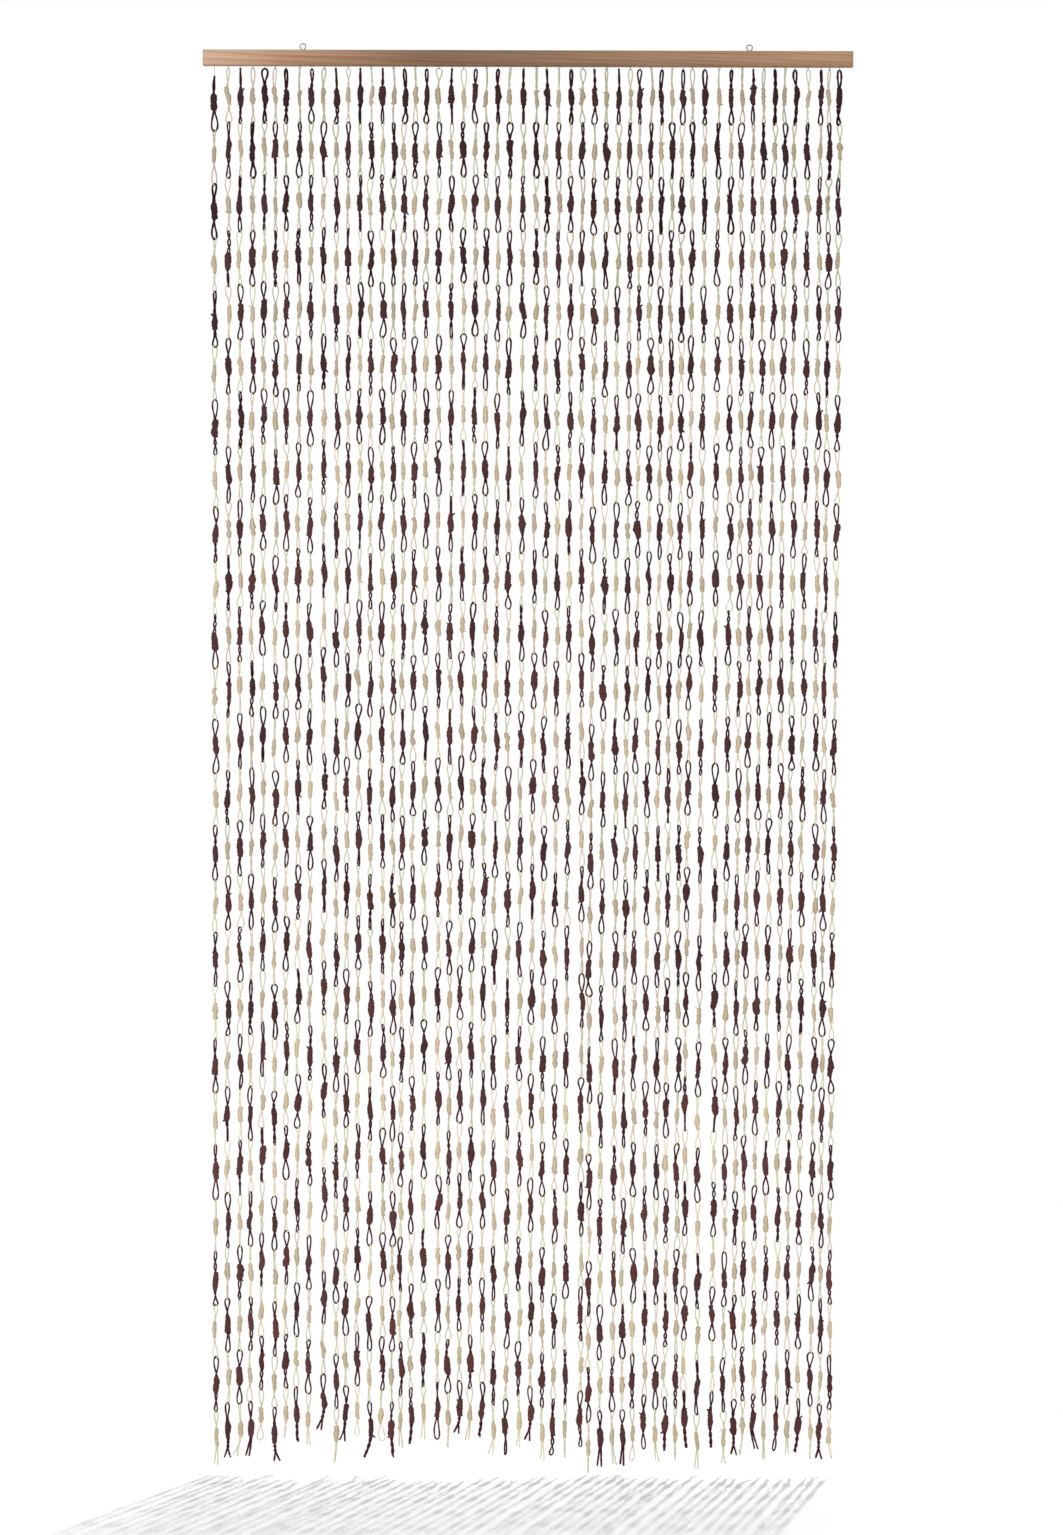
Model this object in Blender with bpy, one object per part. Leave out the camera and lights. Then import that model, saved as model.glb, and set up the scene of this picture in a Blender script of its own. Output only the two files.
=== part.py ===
"""Paper door curtain with a wooden bar: 55 strings of knotted paper links under a squared stick.

Metres, +Z up. X runs along the bar and the front faces -Y. The origin is the middle of the line that joins the
centres of the two eye screws' rings, by which the curtain hangs.
"""

import math
import random
from typing import NamedTuple

import bmesh
import bpy
from mathutils import Vector

MM = 0.001

# Fit between neighbouring pieces
GAP = 0.3 * MM

# Header bar
BAR_LENGTH = 900 * MM
BAR_HEIGHT = 21.5 * MM
BAR_DEPTH = 12 * MM
BAR_EDGE = 0.8 * MM

# Eye screws
EYE_XS = (-311.7 * MM, 306.7 * MM)
EYE_WIRE = 1.5 * MM
EYE_OUTER = 9.4 * MM
EYE_SHANK = 1.6 * MM
EYE_DEPTH = 11.5 * MM
EYE_RING_STEPS = 24
EYE_WIRE_STEPS = 8
ROUND_STEPS = 12

# The row of tiny wire hooks under the bar, as two narrow strips, one for each kind of string
STRIP_LENGTH = 872 * MM
STRIP_DEPTH = 1.6 * MM
STRIP_HEIGHT = 1.6 * MM
STRIP_OFF_CENTRE = 1.5 * MM
WIRE_RADIUS = 0.7 * MM

# Strings
LINKS = 26
SIDES = 3
HOOK_LINE = 3.8 * MM
FIRST_KNOT = 37 * MM
KNOT_HALF = 13 * MM
KNOT_RADIUS = 4.8 * MM
CORD_RADIUS = 2.0 * MM
TIP_RADIUS = 1.1 * MM
SWAY = 0.9 * MM
SWAY_SEED = 26

# Heights that follow from those sizes
BAR_TOP = -(EYE_OUTER / 2 + GAP)
BAR_BOTTOM = BAR_TOP - BAR_HEIGHT
STRIP_TOP = BAR_BOTTOM - GAP
HOOKS_Z = BAR_BOTTOM - HOOK_LINE


class String(NamedTuple):
    """One string, in millimetres.

    hook: X of its hook. lean: how far its foot hangs to the right of the hook. drop: from the line of the hooks
    down to the middle of its last knot. tail: from there to its lowest end. slack: how much lower it is hooked.
    """

    hook: float
    lean: float
    drop: float
    tail: float
    slack: float = 0


STRINGS = (
    String(-434, -1, 1915, 40, slack=11),
    String(-415, -4, 1905, 40),
    String(-398, -4, 1904, 39),
    String(-381, -6, 1903, 40),
    String(-364, -8, 1883, 36),
    String(-350, -2, 1912, 38),
    String(-335, -1, 1881, 35),
    String(-316, -6, 1882, 40),
    String(-299, -6, 1889, 38),
    String(-282, -2, 1863, 42),
    String(-266, 1, 1910, 42),
    String(-249, -3, 1880, 41),
    String(-232, -4, 1877, 35),
    String(-217, -2, 1903, 42),
    String(-201, 0, 1884, 36),
    String(-186, -1, 1904, 40),
    String(-171, -4, 1892, 37),
    String(-156, -4, 1883, 42),
    String(-140, -3, 1878, 39),
    String(-123, 0, 1875, 43),
    String(-105, -3, 1887, 41),
    String(-89, -3, 1872, 38),
    String(-72, -5, 1880, 38),
    String(-57, -3, 1875, 40),
    String(-41, -3, 1904, 35),
    String(-24, -3, 1899, 41),
    String(-6, -3, 1890, 38),
    String(12, -4, 1880, 40),
    String(26, -1, 1908, 39),
    String(43, -2, 1899, 41),
    String(60, -3, 1903, 40),
    String(76, 3, 1887, 41),
    String(92, -2, 1929, 35),
    String(109, -3, 1916, 40),
    String(126, -2, 1913, 40),
    String(142, -4, 1914, 41),
    String(155, -3, 1908, 39),
    String(171, -2, 1892, 39),
    String(186, -2, 1910, 38),
    String(200, -2, 1895, 39),
    String(215, -2, 1908, 37),
    String(228, -3, 1886, 43),
    String(245, -2, 1918, 41),
    String(265, -1, 1887, 42),
    String(282, -1, 1913, 38),
    String(297, -1, 1898, 42),
    String(312, -4, 1897, 42),
    String(327, -4, 1891, 40),
    String(342, -4, 1904, 42),
    String(357, -2, 1893, 40),
    String(370, 1, 1902, 36),
    String(388, -2, 1897, 39),
    String(406, -3, 1905, 39),
    String(418, -2, 1905, 40),
    String(431, -1, 1910, 34),
)


def clear_scene():
    """Takes out whatever the scene holds."""
    for leftover in list(bpy.data.objects):
        bpy.data.objects.remove(leftover, do_unlink=True)


def finish(name, colour, roughness, metallic=0.0):
    """A Principled material with one colour, roughness and metallic value."""
    material = bpy.data.materials.new(name)
    material.use_nodes = True
    shader = material.node_tree.nodes["Principled BSDF"]
    shader.inputs["Base Color"].default_value = (*colour, 1.0)
    shader.inputs["Roughness"].default_value = roughness
    shader.inputs["Metallic"].default_value = metallic
    return material


def add_object(name, bm, material=None):
    """Turns a bmesh into an object of that name at the origin."""
    mesh = bpy.data.meshes.new(name)
    bmesh.ops.recalc_face_normals(bm, faces=bm.faces)
    bm.to_mesh(mesh)
    bm.free()
    made = bpy.data.objects.new(name, mesh)
    bpy.context.scene.collection.objects.link(made)
    if material:
        mesh.materials.append(material)
    return made


def helper(name, bm):
    """An object that only shapes another one, so it stays out of renders."""
    made = add_object(name, bm)
    made.hide_render = True
    made.display_type = "WIRE"
    return made


def combine(target, other, operation):
    """Adds a Boolean of that kind between two objects."""
    step = target.modifiers.new(operation.title(), "BOOLEAN")
    step.operation = operation
    step.object = other
    step.solver = "EXACT"


def block(size, centre):
    """A bmesh box of that size around a point."""
    bm = bmesh.new()
    bmesh.ops.create_cube(bm, size=1.0)
    bmesh.ops.scale(bm, vec=size, verts=bm.verts)
    bmesh.ops.translate(bm, vec=centre, verts=bm.verts)
    return bm


def add_rod(bm, radius, top, bottom, x, steps):
    """Adds an upright round rod, closed at both ends."""
    made = bmesh.ops.create_cone(
        bm,
        cap_ends=True,
        segments=steps,
        radius1=radius,
        radius2=radius,
        depth=top - bottom,
    )
    bmesh.ops.translate(bm, vec=(x, 0.0, (top + bottom) / 2), verts=made["verts"])


def smooth_rounds(made, angle=40):
    """Shades the round faces smooth and keeps the edges sharp."""
    made.data.shade_smooth()
    made.data.set_sharp_from_angle(angle=math.radians(angle))


def header_bar(wood):
    """The squared stick with eased edges and a blind bore in its top for each eye screw."""
    centre = (0.0, 0.0, (BAR_TOP + BAR_BOTTOM) / 2)
    bar = add_object("header_bar", block((BAR_LENGTH, BAR_DEPTH, BAR_HEIGHT), centre), wood)
    ease = bar.modifiers.new("Eased edges", "BEVEL")
    ease.width = BAR_EDGE
    ease.segments = 2
    bores = bmesh.new()
    for x in EYE_XS:
        add_rod(bores, EYE_SHANK / 2 + GAP, BAR_TOP + EYE_WIRE, BAR_TOP - EYE_DEPTH - GAP, x, ROUND_STEPS)
    combine(bar, helper("eye_bores", bores), "DIFFERENCE")
    return bar


def ring_mesh(x):
    """A wire ring that faces the front, centred on the line of the eyes."""
    middle = (EYE_OUTER - EYE_WIRE) / 2
    bm = bmesh.new()
    rows = []
    for step in range(EYE_RING_STEPS):
        around = 2 * math.pi * step / EYE_RING_STEPS
        row = []
        for turn in range(EYE_WIRE_STEPS):
            across = 2 * math.pi * turn / EYE_WIRE_STEPS
            reach = middle + EYE_WIRE / 2 * math.cos(across)
            place = (x + reach * math.sin(around), EYE_WIRE / 2 * math.sin(across), reach * math.cos(around))
            row.append(bm.verts.new(place))
        rows.append(row)
    for step, row in enumerate(rows):
        following = rows[(step + 1) % EYE_RING_STEPS]
        for turn in range(EYE_WIRE_STEPS):
            beside = (turn + 1) % EYE_WIRE_STEPS
            bm.faces.new((row[turn], row[beside], following[beside], following[turn]))
    return bm


def eye_screw(name, x, steel):
    """A wire ring on a short shank that stands in the bar's bore."""
    eye = add_object(name, ring_mesh(x), steel)
    shank = bmesh.new()
    add_rod(shank, EYE_SHANK / 2, -EYE_OUTER / 2 + EYE_WIRE / 2, BAR_TOP - EYE_DEPTH, x, ROUND_STEPS)
    combine(eye, helper(f"{name}_shank", shank), "UNION")
    smooth_rounds(eye)
    return eye


def knots(string):
    """The height of each knot's middle, from the first link to the last."""
    first = HOOKS_Z - FIRST_KNOT - string.slack * MM
    last = HOOKS_Z - string.drop * MM
    return [first + (last - first) * link / (LINKS - 1) for link in range(LINKS)]


def sections(string, first_brown):
    """Height and radius of each section of one string, from its root down to its tip.

    first_brown: 0 where the first link is brown, 1 where it is cream. Every brown knot stands out.
    """
    middles = knots(string)
    rows = [(STRIP_TOP - STRIP_HEIGHT / 2, WIRE_RADIUS)]
    for link in range(first_brown, LINKS, 2):
        middle = middles[link]
        rows.append((middle + KNOT_HALF, CORD_RADIUS))
        rows.append((middle, KNOT_RADIUS))
        rows.append((middle - KNOT_HALF, CORD_RADIUS))
    rows.append((middles[-1] - string.tail * MM, TIP_RADIUS))
    return rows


def add_string(bm, string, y, first_brown, sway):
    """Adds one string to a bmesh as a closed three-sided tube, thick at each brown knot."""
    root = STRIP_TOP
    foot = HOOKS_Z - (string.drop + string.tail) * MM
    rings = []
    for height, radius in sections(string, first_brown):
        down = (root - height) / (root - foot)
        x = (string.hook + string.lean * down) * MM + sway * math.sin(2 * math.pi * down)
        ring = []
        for side in range(SIDES):
            turn = 2 * math.pi * side / SIDES - math.pi / 2
            ring.append(bm.verts.new((x + radius * math.cos(turn), y + radius * math.sin(turn), height)))
        rings.append(ring)
    for upper, lower in zip(rings, rings[1:]):
        for side in range(SIDES):
            beside = (side + 1) % SIDES
            bm.faces.new((upper[side], lower[side], lower[beside], upper[beside]))
    bm.faces.new(rings[0])
    bm.faces.new(list(reversed(rings[-1])))


def string_set(name, first, first_brown, y, paper):
    """Every second string, fused at its root to a narrow strip under the bar."""
    chance = random.Random(SWAY_SEED + first)
    strip = block((STRIP_LENGTH, STRIP_DEPTH, STRIP_HEIGHT), Vector((0.0, y, STRIP_TOP - STRIP_HEIGHT / 2)))
    made = add_object(name, strip, paper)
    hanging = bmesh.new()
    for string in STRINGS[first::2]:
        add_string(hanging, string, y, first_brown, SWAY * chance.uniform(-1, 1))
    combine(made, helper(f"{name}_hanging", hanging), "UNION")
    return made


def main():
    """Builds the bar, its two eye screws and the two sets of strings."""
    clear_scene()
    header_bar(finish("Pinkish wood", (0.45, 0.28, 0.18), 0.6))
    steel = finish("Pale steel", (0.72, 0.72, 0.70), 0.35, metallic=1.0)
    for name, x in zip(("eye_left", "eye_right"), EYE_XS):
        eye_screw(name, x, steel)
    brown = finish("Brown paper", (0.07, 0.025, 0.03), 0.8)
    cream = finish("Cream paper", (0.6, 0.48, 0.29), 0.8)
    string_set("strings_brown_first", 0, 0, -STRIP_OFF_CENTRE, brown)
    string_set("strings_cream_first", 1, 1, STRIP_OFF_CENTRE, cream)


main()
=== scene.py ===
"""Paper door curtain: 55 strings of knotted brown and cream paper links under a squared wooden bar.

Metres, +Z up. X runs along the bar and the front faces -Y. The origin is the middle of the line that joins
the centres of the two eye screws' rings, by which the curtain hangs.
"""

import logging
import math
import random
from dataclasses import dataclass, replace
from enum import Enum
from typing import Any, NamedTuple

import bpy
import numpy as np
from mathutils import Matrix, Vector


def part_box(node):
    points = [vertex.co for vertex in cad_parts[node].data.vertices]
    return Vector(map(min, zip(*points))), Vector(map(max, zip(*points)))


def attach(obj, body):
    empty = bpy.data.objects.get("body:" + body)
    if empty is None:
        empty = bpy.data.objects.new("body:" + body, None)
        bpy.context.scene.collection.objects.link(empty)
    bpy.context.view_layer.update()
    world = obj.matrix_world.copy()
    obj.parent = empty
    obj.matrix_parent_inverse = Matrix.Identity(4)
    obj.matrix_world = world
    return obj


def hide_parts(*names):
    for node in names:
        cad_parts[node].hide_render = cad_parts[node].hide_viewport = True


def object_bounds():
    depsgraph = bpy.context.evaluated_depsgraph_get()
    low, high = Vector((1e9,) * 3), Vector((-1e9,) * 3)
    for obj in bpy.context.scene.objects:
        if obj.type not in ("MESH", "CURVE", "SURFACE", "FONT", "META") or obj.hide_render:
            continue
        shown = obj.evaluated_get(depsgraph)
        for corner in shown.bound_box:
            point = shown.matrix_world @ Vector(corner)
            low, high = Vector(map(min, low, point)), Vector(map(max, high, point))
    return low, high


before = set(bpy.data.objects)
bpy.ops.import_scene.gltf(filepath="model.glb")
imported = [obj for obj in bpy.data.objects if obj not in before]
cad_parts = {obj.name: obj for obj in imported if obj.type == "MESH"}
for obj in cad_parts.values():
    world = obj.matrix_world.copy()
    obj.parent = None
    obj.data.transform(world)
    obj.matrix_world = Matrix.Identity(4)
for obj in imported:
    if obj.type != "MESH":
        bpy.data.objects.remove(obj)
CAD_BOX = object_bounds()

log = logging.getLogger("curtain")

MM = 0.001
BODY = "root"

# Strings. The line of the hooks lies HOOK_LINE under the bar. Each string's first loop rests FIRST_LOOP under
# that line and its first knot hangs FIRST_KNOT under it. SWAY is the most that a string swings out of line,
# and OFF_CENTRE how far before or behind the middle it hangs. BAY is how many strings share a piece.
LINKS = 26
HOOK_LINE = 3.8 * MM
FIRST_LOOP = 1.6 * MM
FIRST_KNOT = 37 * MM
SWAY = 0.9 * MM
SWAY_SEED = 26
OFF_CENTRE = 1.5 * MM
STRING_NODES = ("strings_brown_first", "strings_cream_first")
BAY = 8
SEED = 1955

# How finely a link is made. A cord has LEG_STEPS lengths on each side of a loop, and SIDES vertices round it.
# A knot has KNOT_STEPS vertices in a turn, KNOT_LINES lines of them and LUMPS uneven parts. CELLS is how many
# links lie side by side and one above another in the baked map.
LEG_STEPS = 9
SIDES = 5
KNOT_STEPS = 6
KNOT_LINES = 24
LINES_A_WRAP = 2
LUMPS = 5
STUB_RINGS = 3
CELLS = (10, 11)


class Ending(Enum):
    """How the cord ends below a string's last knot hang."""

    LEGS = "two legs side by side"
    FORK = "twisted together, then split"
    LOOP = "a closed loop"
    LINE = "laid together as one line"


ENDINGS = tuple(Ending)


class Look(Enum):
    """How a string's first loop looks from the front, and how wide it is in millimetres."""

    LINE = 6.5
    SLIM = 4.6
    OPEN = 6.4
    WIDE = 8.8


class Strand(NamedTuple):
    """One string, in millimetres.

    hook: X of its hook. lean: how far its foot hangs to the right of the hook. drop: from the line of the
    hooks down to the middle of its last knot. tail: from there to its lowest end. first: how its first loop
    looks. ending: how its lowest end hangs. swing: how far that end points to the right of the last knot.
    slack: how much lower the string is hooked.
    """

    hook: float
    lean: float
    drop: float
    tail: float
    first: Look
    ending: Ending
    swing: float = 0
    slack: float = 0


STRANDS = (
    Strand(-434, -1, 1915, 40, Look.LINE, Ending.LEGS, slack=11),
    Strand(-415, -4, 1905, 40, Look.SLIM, Ending.FORK),
    Strand(-398, -4, 1904, 39, Look.LINE, Ending.FORK, swing=-6),
    Strand(-381, -6, 1903, 40, Look.OPEN, Ending.LEGS, swing=-4),
    Strand(-364, -8, 1883, 36, Look.WIDE, Ending.LOOP, swing=-1),
    Strand(-350, -2, 1912, 38, Look.SLIM, Ending.FORK, swing=3),
    Strand(-335, -1, 1881, 35, Look.SLIM, Ending.LINE, swing=-3),
    Strand(-316, -6, 1882, 40, Look.LINE, Ending.LINE, swing=2),
    Strand(-299, -6, 1889, 38, Look.SLIM, Ending.LEGS, swing=1),
    Strand(-282, -2, 1863, 42, Look.OPEN, Ending.FORK, swing=-6),
    Strand(-266, 1, 1910, 42, Look.LINE, Ending.LINE, swing=-3),
    Strand(-249, -3, 1880, 41, Look.OPEN, Ending.FORK, swing=-5),
    Strand(-232, -4, 1877, 35, Look.LINE, Ending.LOOP),
    Strand(-217, -2, 1903, 42, Look.LINE, Ending.LINE, swing=-7),
    Strand(-201, 0, 1884, 36, Look.LINE, Ending.LOOP),
    Strand(-186, -1, 1904, 40, Look.LINE, Ending.LINE, swing=2),
    Strand(-171, -4, 1892, 37, Look.SLIM, Ending.LEGS, swing=1),
    Strand(-156, -4, 1883, 42, Look.LINE, Ending.LINE, swing=-2),
    Strand(-140, -3, 1878, 39, Look.SLIM, Ending.LEGS),
    Strand(-123, 0, 1875, 43, Look.WIDE, Ending.LOOP),
    Strand(-105, -3, 1887, 41, Look.LINE, Ending.LINE),
    Strand(-89, -3, 1872, 38, Look.WIDE, Ending.FORK, swing=-4),
    Strand(-72, -5, 1880, 38, Look.SLIM, Ending.LEGS, swing=-4),
    Strand(-57, -3, 1875, 40, Look.LINE, Ending.LINE, swing=-4),
    Strand(-41, -3, 1904, 35, Look.SLIM, Ending.LEGS, swing=-4),
    Strand(-24, -3, 1899, 41, Look.LINE, Ending.LOOP),
    Strand(-6, -3, 1890, 38, Look.LINE, Ending.LEGS),
    Strand(12, -4, 1880, 40, Look.LINE, Ending.FORK, swing=-4),
    Strand(26, -1, 1908, 39, Look.LINE, Ending.LEGS),
    Strand(43, -2, 1899, 41, Look.LINE, Ending.LOOP, swing=-3),
    Strand(60, -3, 1903, 40, Look.SLIM, Ending.LINE),
    Strand(76, 3, 1887, 41, Look.WIDE, Ending.LOOP),
    Strand(92, -2, 1929, 35, Look.LINE, Ending.LINE),
    Strand(109, -3, 1916, 40, Look.LINE, Ending.LEGS),
    Strand(126, -2, 1913, 40, Look.LINE, Ending.LEGS, swing=4),
    Strand(142, -4, 1914, 41, Look.OPEN, Ending.LEGS),
    Strand(155, -3, 1908, 39, Look.OPEN, Ending.LOOP),
    Strand(171, -2, 1892, 39, Look.LINE, Ending.LOOP),
    Strand(186, -2, 1910, 38, Look.SLIM, Ending.LEGS, swing=4),
    Strand(200, -2, 1895, 39, Look.LINE, Ending.LINE),
    Strand(215, -2, 1908, 37, Look.SLIM, Ending.LINE),
    Strand(228, -3, 1886, 43, Look.OPEN, Ending.LINE, swing=4),
    Strand(245, -2, 1918, 41, Look.OPEN, Ending.LEGS),
    Strand(265, -1, 1887, 42, Look.LINE, Ending.LINE),
    Strand(282, -1, 1913, 38, Look.SLIM, Ending.FORK),
    Strand(297, -1, 1898, 42, Look.LINE, Ending.FORK),
    Strand(312, -4, 1897, 42, Look.LINE, Ending.LINE, swing=-4),
    Strand(327, -4, 1891, 40, Look.SLIM, Ending.LEGS, swing=5),
    Strand(342, -4, 1904, 42, Look.LINE, Ending.LEGS),
    Strand(357, -2, 1893, 40, Look.LINE, Ending.LOOP, swing=-3),
    Strand(370, 1, 1902, 36, Look.OPEN, Ending.LEGS),
    Strand(388, -2, 1897, 39, Look.OPEN, Ending.LINE, swing=-4),
    Strand(406, -3, 1905, 39, Look.LINE, Ending.LINE),
    Strand(418, -2, 1905, 40, Look.SLIM, Ending.FORK),
    Strand(431, -1, 1910, 34, Look.OPEN, Ending.LINE, swing=4),
)


class Patch(NamedTuple):
    """A rectangle of one link's cell in the baked map, from its low corner to its high one."""

    left: float
    low: float
    right: float
    high: float

    def at(self, across: float, up: float) -> tuple[float, float]:
        """The place at that share of the way across and up."""
        return (
            self.left + (self.right - self.left) * across,
            self.low + (self.high - self.low) * up,
        )


LOWER_PATCH = Patch(0.01, 0.015, 0.88, 0.145)
LOWER_LEFT_PATCH = Patch(0.01, 0.015, 0.44, 0.145)
LOWER_RIGHT_PATCH = Patch(0.45, 0.015, 0.88, 0.145)
UPPER_PATCH = Patch(0.01, 0.16, 0.88, 0.29)
STUB_PATCH = Patch(0.90, 0.015, 0.99, 0.29)
KNOT_FOOT_PATCH = Patch(0.01, 0.305, 0.99, 0.345)
KNOT_PATCH = Patch(0.01, 0.355, 0.99, 0.935)
KNOT_HEAD_PATCH = Patch(0.01, 0.945, 0.99, 0.985)


@dataclass(frozen=True)
class Form:
    """The faces that every copy of one form shares.

    sizes: corners in each face. corners: the vertex of each corner. along: its ring, or its turn round the
    knot. around: how far round the cord it lies, in turns. place: its place in the cell of the baked map.
    """

    sizes: np.ndarray
    corners: np.ndarray
    along: np.ndarray
    around: np.ndarray
    place: np.ndarray


class FormMaker:
    """Collects faces one by one and turns them into a Form."""

    def __init__(self) -> None:
        """Starts with no faces."""
        self.faces: list[list[tuple[int, float, float, tuple[float, float]]]] = []

    def face(self, corners: list[tuple[int, float, float, tuple[float, float]]]) -> None:
        """Adds a face, given as (vertex, along, around, place) for each corner."""
        self.faces.append(corners)

    def form(self) -> Form:
        """The finished form.

        Returns:
            The faces as arrays.
        """
        rows = [corner for face in self.faces for corner in face]
        return Form(
            sizes=np.array([len(face) for face in self.faces]),
            corners=np.array([row[0] for row in rows]),
            along=np.array([row[1] for row in rows], float),
            around=np.array([row[2] for row in rows], float),
            place=np.array([row[3] for row in rows], float),
        )


def tube_form(rings: int, sides: int, patch: Patch) -> Form:
    """The faces of a closed tube.

    Args:
        rings: how many rings of vertices it has.
        sides: how many vertices a ring has.
        patch: where it goes in the cell of the baked map.

    Returns:
        The tube's form, whose corners run ring by ring.
    """
    cap_room = 0.06
    maker = FormMaker()

    def corner(ring: int, side: int) -> tuple[int, float, float, tuple[float, float]]:
        """One corner of the wall."""
        across = cap_room + (1 - 2 * cap_room) * ring / (rings - 1)
        return ring * sides + side % sides, ring, side / sides, patch.at(across, side / sides)

    for ring in range(rings - 1):
        for side in range(sides):
            maker.face([
                corner(ring, side),
                corner(ring, side + 1),
                corner(ring + 1, side + 1),
                corner(ring + 1, side),
            ])
    for ring, middle, order in (
        (0, cap_room / 2, range(sides - 1, -1, -1)),
        (rings - 1, 1 - cap_room / 2, range(sides)),
    ):
        cap = []
        for side in order:
            turn = 2 * math.pi * side / sides
            place = patch.at(middle + cap_room * 0.4 * math.cos(turn), 0.5 + 0.4 * math.sin(turn))
            cap.append((ring * sides + side, ring, side / sides, place))
        maker.face(cap)
    return maker.form()


def knot_form() -> Form:
    """The faces of a knot, whose lines of vertices follow the wraps as a helix.

    Returns:
        The knot's form. Vertex (step, line) is number step * (KNOT_LINES + 1) + line, and the middles of its
        foot and head come last.
    """
    maker = FormMaker()
    rows = KNOT_LINES + 1
    foot = KNOT_STEPS * rows
    head = foot + 1

    def number(step: int, line: int) -> int:
        """The vertex there. One turn round is one wrap up."""
        if step == KNOT_STEPS:
            return line + LINES_A_WRAP
        return step * rows + line

    def corner(step: int, line: int, band: int) -> tuple[int, float, float, tuple[float, float]]:
        """One corner of the band of faces above a line.

        Args:
            step: how many steps round its wrap the corner is.
            line: the line of vertices that it is on.
            band: the line below the faces.

        Returns:
            Its vertex, its place along and around the cord, and its place in the cell.
        """
        wrap = band // LINES_A_WRAP
        around = (line - wrap * LINES_A_WRAP) / LINES_A_WRAP / 2
        place = KNOT_PATCH.at(step / KNOT_STEPS, line / KNOT_LINES)
        return number(step, line), wrap + step / KNOT_STEPS, around, place

    for step in range(KNOT_STEPS):
        bands = KNOT_LINES - LINES_A_WRAP if step == KNOT_STEPS - 1 else KNOT_LINES
        for band in range(bands):
            maker.face([
                corner(step, band, band),
                corner(step + 1, band, band),
                corner(step + 1, band + 1, band),
                corner(step, band + 1, band),
            ])
    seam = range(1, LINES_A_WRAP + 1)
    foot_rim = [number(step, 0) for step in range(KNOT_STEPS)] + list(reversed(seam))
    head_rim = [number(step, KNOT_LINES) for step in range(KNOT_STEPS)]
    head_rim += [number(KNOT_STEPS - 1, KNOT_LINES - down) for down in seam]
    for rim, middle, patch, turned in (
        (foot_rim, foot, KNOT_FOOT_PATCH, True),
        (head_rim, head, KNOT_HEAD_PATCH, False),
    ):
        for step, vertex in enumerate(rim):
            following = rim[(step + 1) % len(rim)]
            first = (vertex, step / len(rim), 0.0, patch.at(step / len(rim), 0))
            second = (following, (step + 1) / len(rim), 0.0, patch.at((step + 1) / len(rim), 0))
            centre = (middle, step / len(rim), 0.25, patch.at((step + 0.5) / len(rim), 1))
            maker.face([centre, second, first] if turned else [centre, first, second])
    return maker.form()


class Stock:
    """Gathers copies of forms and turns them into one mesh."""

    def __init__(self) -> None:
        """Starts with nothing in it."""
        self.points: list[np.ndarray] = []
        self.tones: list[np.ndarray] = []
        self.sizes: list[np.ndarray] = []
        self.corners: list[np.ndarray] = []
        self.cord: list[np.ndarray] = []
        self.places: list[np.ndarray] = []
        self.count = 0

    def add(
        self,
        form: Form,
        points: np.ndarray,
        along: np.ndarray,
        tones: np.ndarray,
        cells: np.ndarray,
    ) -> None:
        """Adds copies of one form.

        Args:
            form: the faces that the copies share.
            points: where each copy's vertices are, as copies by vertices by 3.
            along: how far along the cord each copy's corners are, in metres, as copies by corners.
            tones: the tone of each vertex, as copies by vertices by 3.
            cells: each copy's column and row in the baked map.
        """
        copies, vertices = points.shape[:2]
        starts = self.count + np.arange(copies)[:, None] * vertices
        self.points.append(points.reshape(-1, 3))
        self.tones.append(tones.reshape(-1, 3))
        self.sizes.append(np.tile(form.sizes, copies))
        self.corners.append((starts + form.corners).ravel())
        around = np.broadcast_to(form.around, along.shape)
        self.cord.append(np.stack((along / MM, around), axis=-1).reshape(-1, 2))
        self.places.append(((cells[:, None, :] + form.place) / np.array(CELLS)).reshape(-1, 2))
        self.count += copies * vertices

    def mesh(self, name: str) -> bpy.types.Mesh:
        """One smooth mesh of everything added.

        Args:
            name: what the mesh is called.

        Returns:
            The mesh, with the maps Cord and OFBake and the attribute tone.
        """
        sizes = np.concatenate(self.sizes)
        corners = np.concatenate(self.corners)
        mesh = bpy.data.meshes.new(name)
        mesh.vertices.add(self.count)
        mesh.vertices.foreach_set("co", np.concatenate(self.points).astype(np.float32).ravel())
        mesh.loops.add(len(corners))
        mesh.loops.foreach_set("vertex_index", corners.astype(np.int32))
        mesh.polygons.add(len(sizes))
        mesh.polygons.foreach_set("loop_start", (np.cumsum(sizes) - sizes).astype(np.int32))
        mesh.update(calc_edges=True)
        for title, values in (("Cord", self.cord), ("OFBake", self.places)):
            layer = mesh.uv_layers.new(name=title)
            layer.uv.foreach_set("vector", np.concatenate(values).astype(np.float32).ravel())
        tone = mesh.attributes.new("tone", "FLOAT_VECTOR", "POINT")
        tone.data.foreach_set("vector", np.concatenate(self.tones).astype(np.float32).ravel())
        mesh.shade_smooth()
        mesh.validate()
        return mesh


def show(
    name: str,
    mesh: bpy.types.Mesh,
    material: bpy.types.Material,
    stands_for: tuple[str, ...],
) -> bpy.types.Object:
    """Puts a finished mesh into the scene as a piece of the curtain.

    Args:
        name: the piece's name.
        mesh: its mesh, in the frame's own place.
        material: what it is dressed in.
        stands_for: the CAD nodes that it replaces.

    Returns:
        The new piece.
    """
    mesh.materials.append(material)
    piece = bpy.data.objects.new(name, mesh)
    bpy.context.scene.collection.objects.link(piece)
    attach(piece, BODY)
    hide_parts(*stands_for)
    log.info("%s: %d faces", name, len(mesh.polygons))
    return piece


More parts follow.
